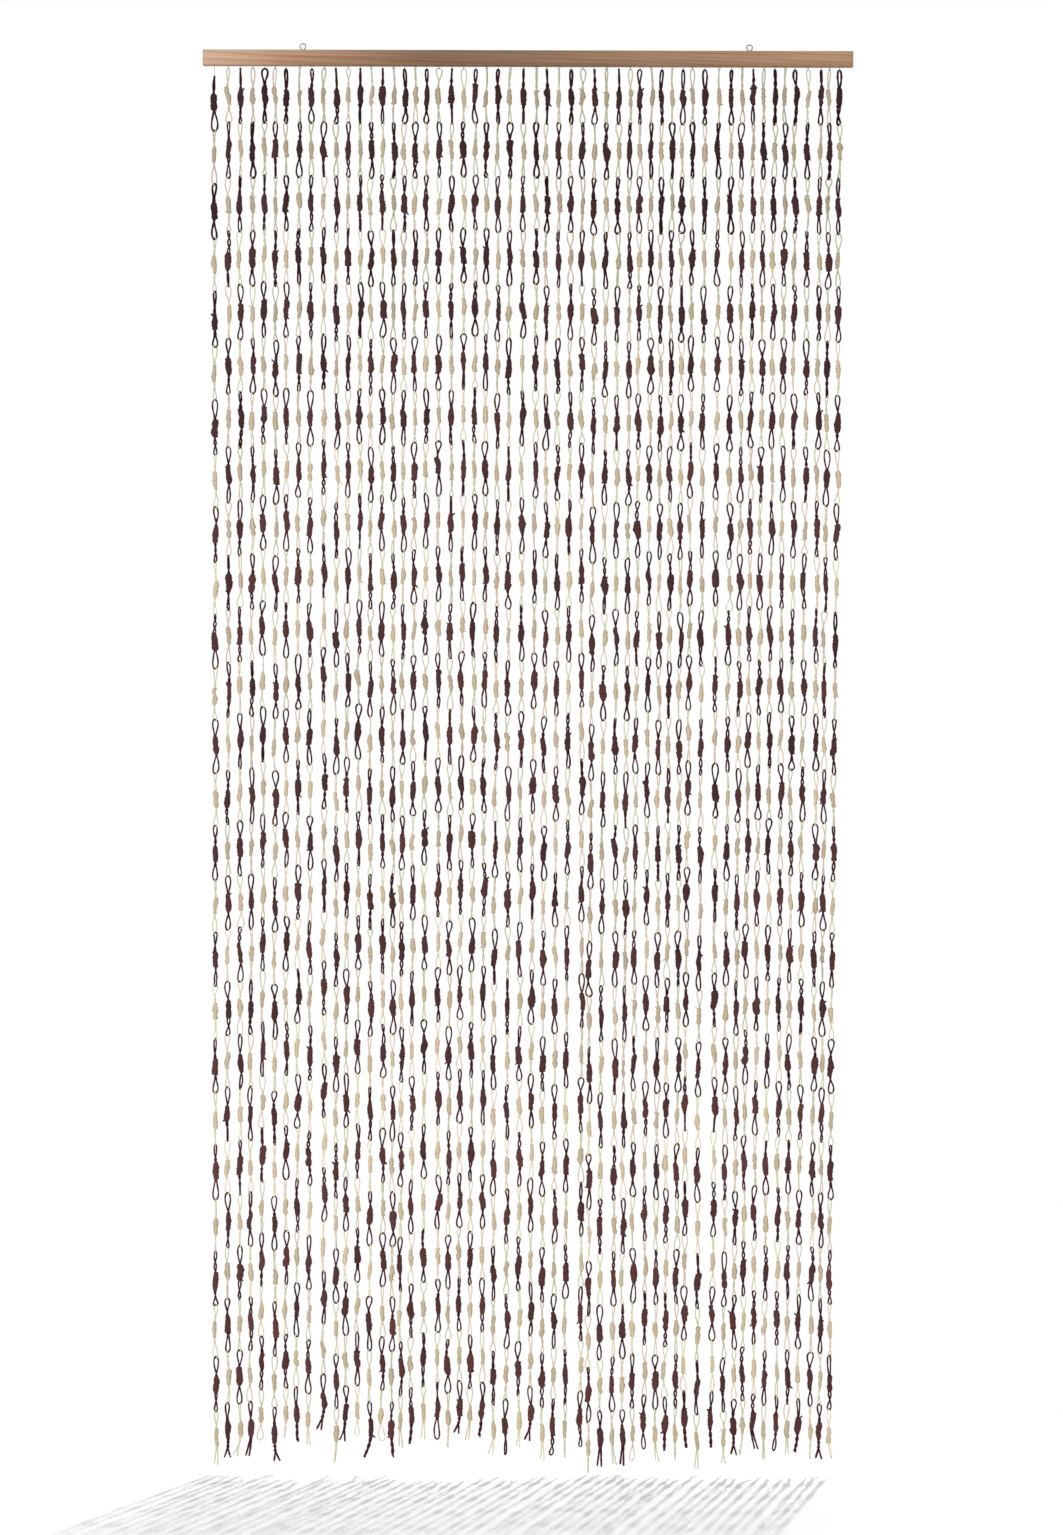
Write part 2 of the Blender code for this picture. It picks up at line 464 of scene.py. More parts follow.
def tube_points(
    line: np.ndarray,
    radius: np.ndarray,
    aside: np.ndarray,
    sides: int,
) -> np.ndarray:
    """Rings of vertices round centre lines.

    Args:
        line: the centre lines, as copies by rings by 3.
        radius: the radius at each ring, as copies by rings.
        aside: a direction that is never along the line, as copies by rings by 3.
        sides: vertices in a ring.

    Returns:
        The vertices, as copies by vertices by 3.
    """
    ahead = np.gradient(line, axis=1)
    ahead /= np.linalg.norm(ahead, axis=-1, keepdims=True)
    across = aside - ahead * np.sum(aside * ahead, axis=-1, keepdims=True)
    across /= np.linalg.norm(across, axis=-1, keepdims=True)
    up = np.cross(ahead, across)
    turn = 2 * np.pi * np.arange(sides) / sides
    out = np.cos(turn)[:, None] * across[:, :, None, :] + np.sin(turn)[:, None] * up[:, :, None, :]
    rings = line[:, :, None, :] + radius[:, :, None, None] * out
    return rings.reshape(len(line), -1, 3)


def lengths_along(line: np.ndarray) -> np.ndarray:
    """How far along its line each ring is.

    Args:
        line: the centre lines, as copies by rings by 3.

    Returns:
        Lengths from the first ring, as copies by rings.
    """
    steps = np.linalg.norm(np.diff(line, axis=1), axis=-1)
    return np.concatenate((np.zeros((len(line), 1)), np.cumsum(steps, axis=1)), axis=1)


@dataclass
class Links:
    """Where each link hangs and how it is turned, one entry for each link in every array.

    upper and lower: the far points of its two loops' centre lines. middle: the middle of its knot.
    upper_turn and lower_turn: which way its loops are wide, from the X axis. ending: 0, or 1 more than the
    Ending's place on a last link. swing: how far a last link's ends point to the right. gape: how wide its
    upper loop is, or 0 where chance says so.
    """

    strand: np.ndarray
    order: np.ndarray
    brown: np.ndarray
    upper: np.ndarray
    middle: np.ndarray
    lower: np.ndarray
    upper_turn: np.ndarray
    lower_turn: np.ndarray
    ending: np.ndarray
    swing: np.ndarray
    gape: np.ndarray

    def only(self, chosen: np.ndarray) -> "Links":
        """The links of a mask."""
        return Links(**{name: values[chosen] for name, values in vars(self).items()})


class Range(NamedTuple):
    """The links up to a share of them all, and the least and the most that they measure."""

    share: float
    least: float
    most: float


@dataclass
class Batch:
    """A batch of links while it is made.

    stock: where the faces go. mood: each link's lightness and hue. cells: each link's cell in the baked map.
    chance: the source of the links' small differences.
    """

    stock: Stock
    mood: np.ndarray
    cells: np.ndarray
    chance: np.random.Generator

    def only(self, chosen: np.ndarray) -> "Batch":
        """The links of a mask."""
        return Batch(self.stock, self.mood[chosen], self.cells[chosen], self.chance)

    def even(self, least: float, most: float, *shape: int) -> np.ndarray:
        """Even draws between two values: one for each link, or a whole shape of them."""
        return self.chance.uniform(least, most, (len(self.mood), *shape))

    def stray(self, size: float, *shape: int) -> np.ndarray:
        """Normal draws about 0: one for each link, or a whole shape of them."""
        return self.chance.normal(0, size, (len(self.mood), *shape))

    def pick(self, kind: np.ndarray, ranges: tuple[Range, ...]) -> np.ndarray:
        """Draws each link's measure from the range that it falls in.

        Args:
            kind: which share of the links each one is in, from 0 to 1.
            ranges: the ranges, by rising share.

        Returns:
            One measure for each link.
        """
        drawn = [self.even(item.least, item.most) for item in ranges]
        return np.select([kind < item.share for item in ranges], drawn)


def level_way(turn: np.ndarray) -> np.ndarray:
    """The level direction at a turn from the X axis, one for each entry."""
    return np.stack((np.cos(turn), np.sin(turn), np.zeros_like(turn)), axis=-1)


@dataclass(frozen=True)
class PaperLink:
    """Sizes of one colour's links, and how uneven they are.

    cord: radius of the twisted cord. knot: radius of the knot at its thickest. half: half of the knot's
    length. throat: radius of the knot's ends. cord_tone: how dark the bare cord is, from 0 to 1. wrap_tone
    and crease_shade: how dark the knot's wraps are, and how dark a painted shade makes the creases between
    them and the knot's ends. cord_hue and top_hue: how much nearer to the paper's other colour the bare cord
    is, and the links near the bar.

    crease: how deep the creases between wraps are. wrap and wrap_spread: how far the wraps stand out. lump,
    ripple and bend: how far whole parts, single places and the whole barrel stray. wrap_shift and part_shift:
    how far wraps and parts of the knot sit off its axis. sunk: how far the cords start inside the knot.
    loop_widths and twist_lengths: how wide the loops are and how much of them is twisted shut, in
    millimetres. wrung_share: how many loops are twisted nearly to their end. lay: length of one turn.
    stub_share: how many knots have a cut end that pokes out.

    These are the least and the most: half_spread and knot_spread, how long and how thick a knot is beside the
    usual; bluntness, how blunt its ends are; cord_spread, how thick a cord is beside the usual; leg_gapes and
    fork_gapes, how far two free ends part, in millimetres; stub_levels and stub_lengths, how far from the
    knot's middle a cut end starts, as a share of half, and how long it is, in millimetres; wrung_turns and
    wrung_gaps, how many turns a wrung loop has, and how far apart its cords lie, in radii.

    wrung_reach and wrung_width: how far down a wrung loop is twisted, as a share of its length, and how wide
    it is beside the others. tilt: how far the knots lean. oval: how far they are from round, at the most.
    """

    cord: float
    knot: float
    half: float
    throat: float
    cord_tone: float
    wrap_tone: float
    crease_shade: float
    cord_hue: float
    top_hue: float
    crease: float = 0.42 * MM
    wrap: float = 0.1 * MM
    wrap_spread: float = 0.22 * MM
    lump: float = 0.5 * MM
    ripple: float = 0.15 * MM
    bend: float = 0.28 * MM
    wrap_shift: float = 0.16 * MM
    part_shift: float = 0.2 * MM
    sunk: float = 3 * MM
    loop_widths: tuple[Range, ...] = (Range(0.72, 7.3, 9.4), Range(0.86, 5.0, 6.6), Range(1.0, 4.0, 5.0))
    twist_lengths: tuple[Range, ...] = (Range(0.2, 3, 7), Range(0.8, 6, 14), Range(1.0, 13, 20))
    wrung_share: float = 0.2
    lay: float = 18 * MM
    stub_share: float = 0.45
    half_spread: tuple[float, float] = (0.9, 1.08)
    knot_spread: tuple[float, float] = (0.92, 1.04)
    bluntness: tuple[float, float] = (1.7, 4.2)
    cord_spread: tuple[float, float] = (0.82, 1.16)
    leg_gapes: tuple[float, float] = (1.2, 2.2)
    fork_gapes: tuple[float, float] = (2.0, 3.4)
    stub_levels: tuple[float, float] = (0.55, 0.85)
    stub_lengths: tuple[float, float] = (3.2, 5.8)
    wrung_reach: float = 0.74
    wrung_width: float = 0.62
    wrung_turns: tuple[float, float] = (0.55, 0.95)
    wrung_gaps: tuple[float, float] = (1.15, 1.5)
    tilt: float = 0.05
    oval: float = 0.13

    def make(self, links: Links, chance: np.random.Generator) -> Stock:
        """Makes every link given.

        Args:
            links: where the links hang.
            chance: the source of the links' small differences.

        Returns:
            The links' faces and vertices.
        """
        count = len(links.strand)
        number = np.arange(count)
        cells = np.stack((number % CELLS[0], number // CELLS[0]), axis=-1).astype(float)
        half = self.half * chance.uniform(*self.half_spread, count)
        tilt = chance.normal(0, self.tilt, (count, 2))
        axis = np.concatenate((tilt, np.ones((count, 1))), axis=-1)
        batch = Batch(Stock(), self.moods(links.order / (LINKS - 1), chance), cells, chance)
        self.add_knots(batch, links, half, axis)
        inside = axis * (half - self.sunk)[:, None]
        top, foot = links.middle + inside, links.middle - inside
        self.add_loops(batch, top, links.upper, links.upper_turn, links.gape, UPPER_PATCH)
        closed = (links.ending == 0) | (links.ending == 1 + ENDINGS.index(Ending.LOOP))
        shut = links.only(closed)
        no_gape = np.zeros(closed.sum())
        self.add_loops(batch.only(closed), foot[closed], shut.lower, shut.lower_turn, no_gape, LOWER_PATCH)
        if not closed.all():
            self.add_ends(batch.only(~closed), links.only(~closed), foot[~closed])
        self.add_stubs(batch, links, half, axis)
        return batch.stock

    def moods(self, down: np.ndarray, chance: np.random.Generator) -> np.ndarray:
        """Each link's lightness and hue: the links near the bar are darker, a painted shade under the bar,
        and those near the foot warmer.

        Args:
            down: how far down its string each link is, from 0 to 1.
            chance: the source of the links' differences.

        Returns:
            Lightness and hue from 0 to 1, as links by 2.
        """
        near_bar = (1 - 3.2 * down).clip(0, 1)
        middle = np.sin(np.pi * down) ** 2
        low_down = np.exp(-(((down - 0.8) / 0.09) ** 2))
        # Painted shade: the links near the bar are made darker.
        light = chance.uniform(0.35, 0.85, len(down)) - 0.5 * near_bar - 0.14 * middle
        hue = chance.uniform(0, 0.75, len(down)) + self.top_hue * near_bar + 0.6 * down**6
        return np.stack((light + 0.13 * low_down, hue), axis=-1)

    def tones(self, mood: np.ndarray, darkness: np.ndarray) -> np.ndarray:
        """The tone of each vertex.

        Args:
            mood: each copy's lightness and hue, from 0 to 1.
            darkness: how much of the dark colour each vertex takes, as painted shade in a knot's creases and
                as the bare cord's own darker tone on a cord, as copies by vertices.

        Returns:
            Lightness, hue and darkness, as copies by vertices by 3.
        """
        wide = np.broadcast_to(mood[:, None, :], (*darkness.shape, 2))
        return np.concatenate((wide, darkness[..., None]), axis=-1)

    def add_knots(self, batch: Batch, links: Links, half: np.ndarray, axis: np.ndarray) -> None:
        """Adds the barrel of wraps in the middle of each link.

        Args:
            batch: the batch being made.
            links: the links that the knots belong to.
            half: half of each knot's length.
            axis: each knot's long direction.
        """
        count = len(half)
        step = np.arange(KNOT_STEPS)
        line = np.arange(KNOT_LINES + 1)
        height = line[None, :] / LINES_A_WRAP + step[:, None] / KNOT_STEPS
        level = 2 * height / height.max() - 1
        centre = batch.even(-0.16, 0.16, 1, 1)
        off = np.abs(level[None] - centre) / (1 + np.abs(centre))
        power = batch.even(*self.bluntness, 1, 1)
        body = (1 - off**power).clip(0, 1) ** 0.72
        wrap = line // LINES_A_WRAP
        wraps = wrap.max() + 1
        fat = self.wrap + batch.stray(self.wrap_spread, 1, wraps)[..., wrap]
        part = (LUMPS - 1) * line / KNOT_LINES
        below = part.astype(int).clip(0, LUMPS - 2)
        above_share = part - below
        lump = batch.stray(self.lump, 1, LUMPS)
        lump = lump[..., below] * (1 - above_share) + lump[..., below + 1] * above_share
        radius = self.throat + (self.knot - self.throat) * body * batch.even(*self.knot_spread, 1, 1)
        valley = line % LINES_A_WRAP == 0
        radius = radius + body * (np.where(valley, -self.crease, fat) + lump)
        radius = radius + body * batch.stray(self.ripple, KNOT_STEPS, KNOT_LINES + 1)
        turn = batch.even(0, 2 * np.pi, 1, 1) + 2 * np.pi * step[None, :, None] / KNOT_STEPS
        radius = radius * (1 + batch.even(0, self.oval, 1, 1) * np.cos(2 * turn))
        drift = batch.stray(self.wrap_shift, 1, wraps, 2)[:, :, wrap]
        sway = batch.stray(self.part_shift, 1, LUMPS, 2)
        above_share = above_share[:, None]
        drift = drift + sway[:, :, below] * (1 - above_share) + sway[:, :, below + 1] * above_share
        drift = drift * body[..., None]
        drift = drift + batch.stray(self.bend, 1, 1, 2) * np.sin(np.pi * level)[..., None]
        drift = drift + batch.stray(self.bend, 1, 1, 2) * np.cos(np.pi * level)[..., None]
        rise = level[None] * half[:, None, None]
        places = radius[..., None] * level_way(turn)
        places[..., :2] += drift
        places = places + links.middle[:, None, None, :] + axis[:, None, None, :] * rise[..., None]
        cap = axis * (half + 0.4 * MM)[:, None]
        caps = np.stack((links.middle - cap, links.middle + cap), axis=1)
        points = np.concatenate((places.reshape(count, -1, 3), caps), axis=1)
        # Painted shade: the valleys between wraps and the knot's two ends are given more of the dark colour.
        crease = np.where(valley, self.crease_shade, self.wrap_tone) * np.ones_like(radius)
        darkness = np.concatenate((crease.reshape(count, -1), np.full((count, 2), self.crease_shade)), axis=1)
        along = KNOT.along * 2 * np.pi * self.knot + batch.even(0, 1, 1)
        batch.stock.add(KNOT, points, along, self.tones(batch.mood, darkness), batch.cells)

    def add_tubes(
        self,
        batch: Batch,
        form: Form,
        line: np.ndarray,
        aside: np.ndarray,
        taper: float = 1.0,
        thick: float = 1.0,
    ) -> None:
        """Adds cords along centre lines.

        Args:
            batch: the batch being made.
            form: the tube's faces.
            line: the centre lines, as copies by rings by 3.
            aside: a direction that is never along the line.
            taper: how thick the last ring is beside the others.
            thick: how thick the cord is beside the usual. Dark cords are a little thicker again.
        """
        count, rings = line.shape[:2]
        bold = thick * (1 + 0.6 * (0.35 - batch.mood[:, :1]).clip(0, 0.5))
        radius = self.cord * bold * batch.even(*self.cord_spread, rings)
        radius[:, -1] *= taper
        points = tube_points(line, radius, aside, SIDES)
        darkness = self.cord_tone + batch.even(-0.16, 0.16, rings)
        darkness = np.repeat(darkness.clip(0, 1), SIDES, axis=1)
        reach = lengths_along(line) + batch.even(0, 1, 1)
        along = reach[:, form.along.astype(int)]
        tones = self.tones(batch.mood + np.array((0.0, self.cord_hue)), darkness)
        batch.stock.add(form, points, along, tones, batch.cells)

    def add_loops(
        self,
        batch: Batch,
        root: np.ndarray,
        apex: np.ndarray,
        turn: np.ndarray,
        gape: np.ndarray,
        patch: Patch,
    ) -> None:
        """Adds one loop to each link: two cords that leave the knot twisted and open to a teardrop.

        Some loops are wrung: their cords cross nearly all the way, with small holes between.

        Args:
            batch: the batch being made.
            root: where each loop's line starts, inside its knot.
            apex: the loop's far point.
            turn: which way the loop is wide.
            gape: how wide it is, or 0 where chance says so.
            patch: where a loop goes in the cell.
        """
        reach = np.linalg.norm(apex - root, axis=-1)
        kind = batch.even(0, 1)
        wide = np.where(gape > 0, gape, batch.pick(kind, self.loop_widths) * MM)
        bare = batch.pick(kind, self.twist_lengths) * MM
        wrung = (batch.even(0, 1) < self.wrung_share) & (gape == 0)
        bare = np.where(wrung, self.wrung_reach * reach, bare)
        wide = np.where(wrung, self.wrung_width * wide, wide)
        share = (bare / reach)[:, None]
        turns = np.where(wrung, batch.even(*self.wrung_turns), bare / self.lay * batch.even(0.7, 1.15))
        twist = 2 * np.pi * turns[:, None]
        apart = np.where(wrung, batch.even(*self.wrung_gaps), 0.95)[:, None] * self.cord
        shape = batch.even(0.9, 1.7, 1)
        widest = np.arccos(-shape / (shape + 2))
        full = np.sin(widest) * np.sin(widest / 2) ** shape
        step = np.arange(LEG_STEPS + 1)[None, :] / LEG_STEPS
        closed = np.where(wrung[:, None], 0.62, np.clip(1.1 * share, 0.12, 0.46))
        opened = np.clip((step - closed) / (1 - closed), 0, 1)
        swept = np.pi * opened**0.8
        down = np.where(step < closed, share * step / closed, share + (1 - share) * (1 - np.cos(swept)) / 2)
        belly = (wide[:, None] / 2 - self.cord) / full * np.sin(swept) * np.sin(swept / 2) ** shape
        inside = np.clip(down * reach[:, None] / (5 * MM), 0, 1)
        start = 0.9 * self.cord
        spread = np.maximum(belly, 0) + (start + (apart - start) * inside) * (1 - opened**2)
        facing = turn[:, None] + twist * np.clip(1 - down / share, 0, 1) + 0.25 * np.cos(3 * down + twist)
        bow = batch.stray(0.5 * MM, 1, 2) * np.sin(np.pi * down)[..., None]
        spine = root[:, None, :] + (apex - root)[:, None, :] * down[..., None]
        spine[..., :2] += bow
        out = level_way(facing) * spread[..., None]
        one = spine + out * batch.even(0.85, 1.1, 1, 1)
        other = spine - out * batch.even(0.85, 1.1, 1, 1)
        one[:, -1] = apex
        line = np.concatenate((one, other[:, -2::-1]), axis=1)
        self.add_tubes(batch, LOOPS[patch], line, level_way(facing[:, -1:] + np.pi / 2))

    def add_ends(self, batch: Batch, links: Links, root: np.ndarray) -> None:
        """Adds the two free cords under each last knot.

        Args:
            batch: the batch being made.
            links: the last links.
            root: where the cords start, inside the knot.
        """
        legs = (links.ending == 1 + ENDINGS.index(Ending.LEGS))[:, None]
        fork = (links.ending == 1 + ENDINGS.index(Ending.FORK))[:, None]
        down = np.arange(LEG_STEPS + 1)[None, :] / LEG_STEPS
        split = np.where(legs, 0.05, np.where(fork, 0.62, 1.0))
        parted = np.clip((down - split) / (1 - split + 1e-6), 0, 1)
        gape = np.where(legs, batch.even(*self.leg_gapes, 1), batch.even(*self.fork_gapes, 1)) * MM
        spread = 0.95 * self.cord + gape * parted**1.2
        twist = np.where(legs, 0.3, 2 * np.pi * 1.6)
        facing = links.lower_turn[:, None] + twist * np.clip(1 - down / split, 0, 1)
        out = level_way(facing) * spread[..., None]
        aside = level_way(facing[:, -1:] + np.pi / 2)
        spine = root[:, None, :] + (links.lower - root)[:, None, :] * down[..., None]
        spine[..., 0] += links.swing[:, None] * (down**1.5 - down)
        spine[..., 1] += batch.stray(1.2 * MM, 1) * down**2
        for side, patch in ((1, LOWER_LEFT_PATCH), (-1, LOWER_RIGHT_PATCH)):
            line = spine + side * out
            line[..., 2] += batch.even(0, 2.5 * MM, 1) * down * (side < 0)
            self.add_tubes(batch, LOOPS[patch], line, aside, taper=0.8, thick=1.2)

    def add_stubs(self, batch: Batch, links: Links, half: np.ndarray, axis: np.ndarray) -> None:
        """Adds the cut cord end that pokes out of some knots.

        Args:
            batch: the batch being made.
            links: the links.
            half: half of each knot's length.
            axis: each knot's long direction.
        """
        has = batch.even(0, 1) < self.stub_share
        side = np.where(batch.even(0, 1) < 0.5, -1, 1)
        turn = batch.even(0, 2 * np.pi)
        level = batch.even(*self.stub_levels) * side
        out = level_way(turn)
        base = links.middle + axis * (level * half)[:, None] + out * (0.45 * self.knot)
        long = batch.even(*self.stub_lengths) * MM
        way = out * 0.75 + np.array((0, 0, 1)) * (side * 0.66)[:, None]
        steps = np.arange(STUB_RINGS) / (STUB_RINGS - 1)
        line = base[:, None, :] + way[:, None, :] * (long[:, None] * steps)[..., None]
        aside = level_way(turn[:, None] + np.pi / 2)
        self.add_tubes(batch.only(has), STUB, line[has], aside[has], taper=0.75)


KNOT = knot_form()
STUB = tube_form(STUB_RINGS, SIDES, STUB_PATCH)
LOOPS = {
    UPPER_PATCH: tube_form(2 * LEG_STEPS + 1, SIDES, UPPER_PATCH),
    LOWER_PATCH: tube_form(2 * LEG_STEPS + 1, SIDES, LOWER_PATCH),
    LOWER_LEFT_PATCH: tube_form(LEG_STEPS + 1, SIDES, LOWER_LEFT_PATCH),
    LOWER_RIGHT_PATCH: tube_form(LEG_STEPS + 1, SIDES, LOWER_RIGHT_PATCH),
}


Colour = tuple[float, float, float, float]
Stretch = tuple[float, float, float]
Socket = bpy.types.NodeSocket
UNIT = (0.0, 1.0)
WHITE: Colour = (1.0, 1.0, 1.0, 1.0)


class Wiring:
    """One node tree, with short ways to put nodes into it."""

    def __init__(self, tree: bpy.types.NodeTree) -> None:
        """Starts with the tree."""
        self.tree = tree

    def node(self, kind: str, inputs: dict[str | int, Any] | None = None, **settings: Any) -> bpy.types.Node:
        """Adds a node and wires or sets its inputs.

        Args:
            kind: the node's Blender type.
            inputs: for each input's name or number, a socket to link from or a plain value.
            settings: the node's own settings.

        Returns:
            The new node.
        """
        node = self.tree.nodes.new(kind)
        for name, value in settings.items():
            setattr(node, name, value)
        for name, value in (inputs or {}).items():
            if isinstance(value, Socket):
                self.tree.links.new(value, node.inputs[name])
            else:
                node.inputs[name].default_value = value
        return node

    def link(self, target: bpy.types.Node, **sockets: Socket) -> None:
        """Links a socket to each input of a node that is named, with _ for a space."""
        for name, socket in sockets.items():
            self.tree.links.new(socket, target.inputs[name.replace("_", " ")])

    def maths(self, operation: str, first: Any, second: Any = 0.0) -> Socket:
        """The result of a Math node on two sockets or numbers."""
        return self.node("ShaderNodeMath", {0: first, 1: second}, operation=operation).outputs[0]

    def plus(self, first: Any, second: Any) -> Socket:
        """The sum of two sockets or numbers."""
        return self.maths("ADD", first, second)

    def times(self, first: Any, second: Any) -> Socket:
        """The product of two sockets or numbers."""
        return self.maths("MULTIPLY", first, second)

    def vector(self, operation: str, first: Socket, second: Stretch) -> Socket:
        """The result of a Vector Math node on a socket and plain numbers."""
        return self.node("ShaderNodeVectorMath", {0: first, 1: second}, operation=operation).outputs[0]

    def blend(self, share: Any, first: Any, second: Any) -> Socket:
        """A mix of two colours.

        Args:
            share: how much of the second colour, a socket or a number.
            first: the first colour, a socket or RGBA.
            second: the second colour, a socket or RGBA.

        Returns:
            The socket with the mixed colour.
        """
        return self.node("ShaderNodeMix", {0: share, 6: first, 7: second}, data_type="RGBA").outputs[2]

    def span(
        self,
        value: Socket,
        before: tuple[float, float],
        after: tuple[float, float],
        curve: str = "LINEAR",
    ) -> Socket:
        """A value moved from one range to another.

        Args:
            value: the socket to read.
            before: the range that it has.
            after: the range that it gets.
            curve: the Map Range node's interpolation.

        Returns:
            The socket with the moved value.
        """
        inputs = {0: value, 1: before[0], 2: before[1], 3: after[0], 4: after[1]}
        return self.node("ShaderNodeMapRange", inputs, interpolation_type=curve).outputs[0]

    def effect(self, group: bpy.types.NodeTree, **inputs: Any) -> bpy.types.NodeOutputs:
        """The outputs of a shared node group, with its inputs wired or set."""
        return self.node("ShaderNodeGroup", inputs, node_tree=group).outputs

    def place(self) -> Socket:
        """The place on the object, in metres."""
        return self.node("ShaderNodeTexCoord").outputs["Object"]

    def noise(self, place: Socket, scale: Any, detail: float, roughness: float = 0.5) -> Socket:
        """The value of a Noise Texture.

        Args:
            place: where it is read.
            scale: its scale, a socket or a number.
            detail: its detail.
            roughness: its roughness.

        Returns:
            The socket with the value, about 0.5.
        """
        inputs = {"Vector": place, "Scale": scale, "Detail": detail, "Roughness": roughness}
        return self.node("ShaderNodeTexNoise", inputs).outputs["Fac"]

    def bump(self, height: Socket, strength: float, distance: float) -> Socket:
        """The normal that a height gives, at a strength and over a distance."""
        inputs = {"Height": height, "Strength": strength, "Distance": distance}
        return self.node("ShaderNodeBump", inputs).outputs[0]

    def shade(self, colour: Socket, value: Socket, saturation: Any = 1.0) -> Socket:
        """A colour made lighter or darker, and more or less strong."""
        inputs = {"Color": colour, "Value": value, "Saturation": saturation}
        return self.node("ShaderNodeHueSaturation", inputs).outputs[0]


class Effects:
    """The shader node groups that more than one finish uses, each built once."""

    def __init__(self) -> None:
        """Builds the groups."""
        self.twist = self.twisted_cord()
        self.grain = self.fine_grain()
        self.drift = self.slow_drift()

    @staticmethod
    def start(
        name: str,
        inputs: dict[str, float],
        outputs: tuple[str, ...],
    ) -> tuple[Wiring, bpy.types.NodeOutputs, bpy.types.Node]:
        """A new group with its sockets.

        Args:
            name: the group's name.
            inputs: the name of each input beside Vector, with its first value.
            outputs: the names of the outputs, which are all numbers.

        Returns:
            The group, what it is given and its output node.
        """
        group = bpy.data.node_groups.new(name, "ShaderNodeTree")
        group.interface.new_socket("Vector", in_out="INPUT", socket_type="NodeSocketVector")
        for title, value in inputs.items():
            socket = group.interface.new_socket(title, in_out="INPUT", socket_type="NodeSocketFloat")
            socket.default_value = value
        for title in outputs:
            group.interface.new_socket(title, in_out="OUTPUT", socket_type="NodeSocketFloat")
        return Wiring(group), group.nodes.new("NodeGroupInput").outputs, group.nodes.new("NodeGroupOutput")

    def twisted_cord(self) -> bpy.types.NodeTree:
        """The slanting folds of a cord twisted from a strip of paper.

        Returns:
            A group that reads the Cord map, in millimetres along and turns around, and gives a height and a
            mask of the folds' crests.
        """
        loose: Stretch = (0.35, 3.0, 1.0)
        fibrous: Stretch = (1.6, 9.0, 1.0)
        firsts = {"Lay": 4.0, "Folds": 2.0, "Wobble": 0.5}
        wires, given, result = self.start("Twisted cord", firsts, ("Height", "Crest"))
        along, around, _ = wires.node("ShaderNodeSeparateXYZ", {0: given["Vector"]}).outputs
        uneven = wires.noise(wires.vector("MULTIPLY", given["Vector"], loose), 1.0, 2.0)
        shift = wires.times(uneven, given["Wobble"])
        laid = wires.maths("DIVIDE", along, given["Lay"])
        phase = wires.plus(wires.plus(laid, wires.times(around, given["Folds"])), shift)
        wave = wires.maths("SINE", wires.times(phase, 2 * math.pi))
        crest = wires.span(wave, (-0.9, 1.0), UNIT)
        fibres = wires.noise(wires.vector("MULTIPLY", given["Vector"], fibrous), 1.0, 3.0)
        wires.link(result, Height=wires.plus(crest, wires.times(fibres, 0.45)), Crest=crest)
        return wires.tree

    def fine_grain(self) -> bpy.types.NodeTree:
        """A fine grain that can be stretched along one direction.

        Returns:
            A group that gives a value from 0 to 1 and a height.
        """
        firsts = {"Scale": 800.0, "Contrast": 1.0}
        wires, given, result = self.start("Fine grain", firsts, ("Value", "Height"))
        noise = wires.noise(given["Vector"], given["Scale"], 4.0, roughness=0.6)
        strong = wires.times(wires.maths("SUBTRACT", noise, 0.5), given["Contrast"])
        value = wires.node("ShaderNodeClamp", {0: wires.plus(strong, 0.5)}).outputs[0]
        wires.link(result, Value=value, Height=strong)
        return wires.tree

    def slow_drift(self) -> bpy.types.NodeTree:
        """A slow change from place to place, as dye and daylight leave it.

        Returns:
            A group that gives a mask from 0 to 1.
        """
        wires, given, result = self.start("Slow drift", {"Scale": 6.0}, ("Mask",))
        noise = wires.noise(given["Vector"], given["Scale"], 1.0)
        wires.link(result, Mask=wires.span(noise, (0.3, 0.7), UNIT))
        return wires.tree


def new_material(name: str) -> tuple[bpy.types.Material, Wiring, bpy.types.Node]:
    """An empty node material.

    Args:
        name: the material's name.

    Returns:
        The material, its node tree and its Principled BSDF.
    """
    material = bpy.data.materials.new(name)
    material.use_nodes = True
    return material, Wiring(material.node_tree), material.node_tree.nodes["Principled BSDF"]


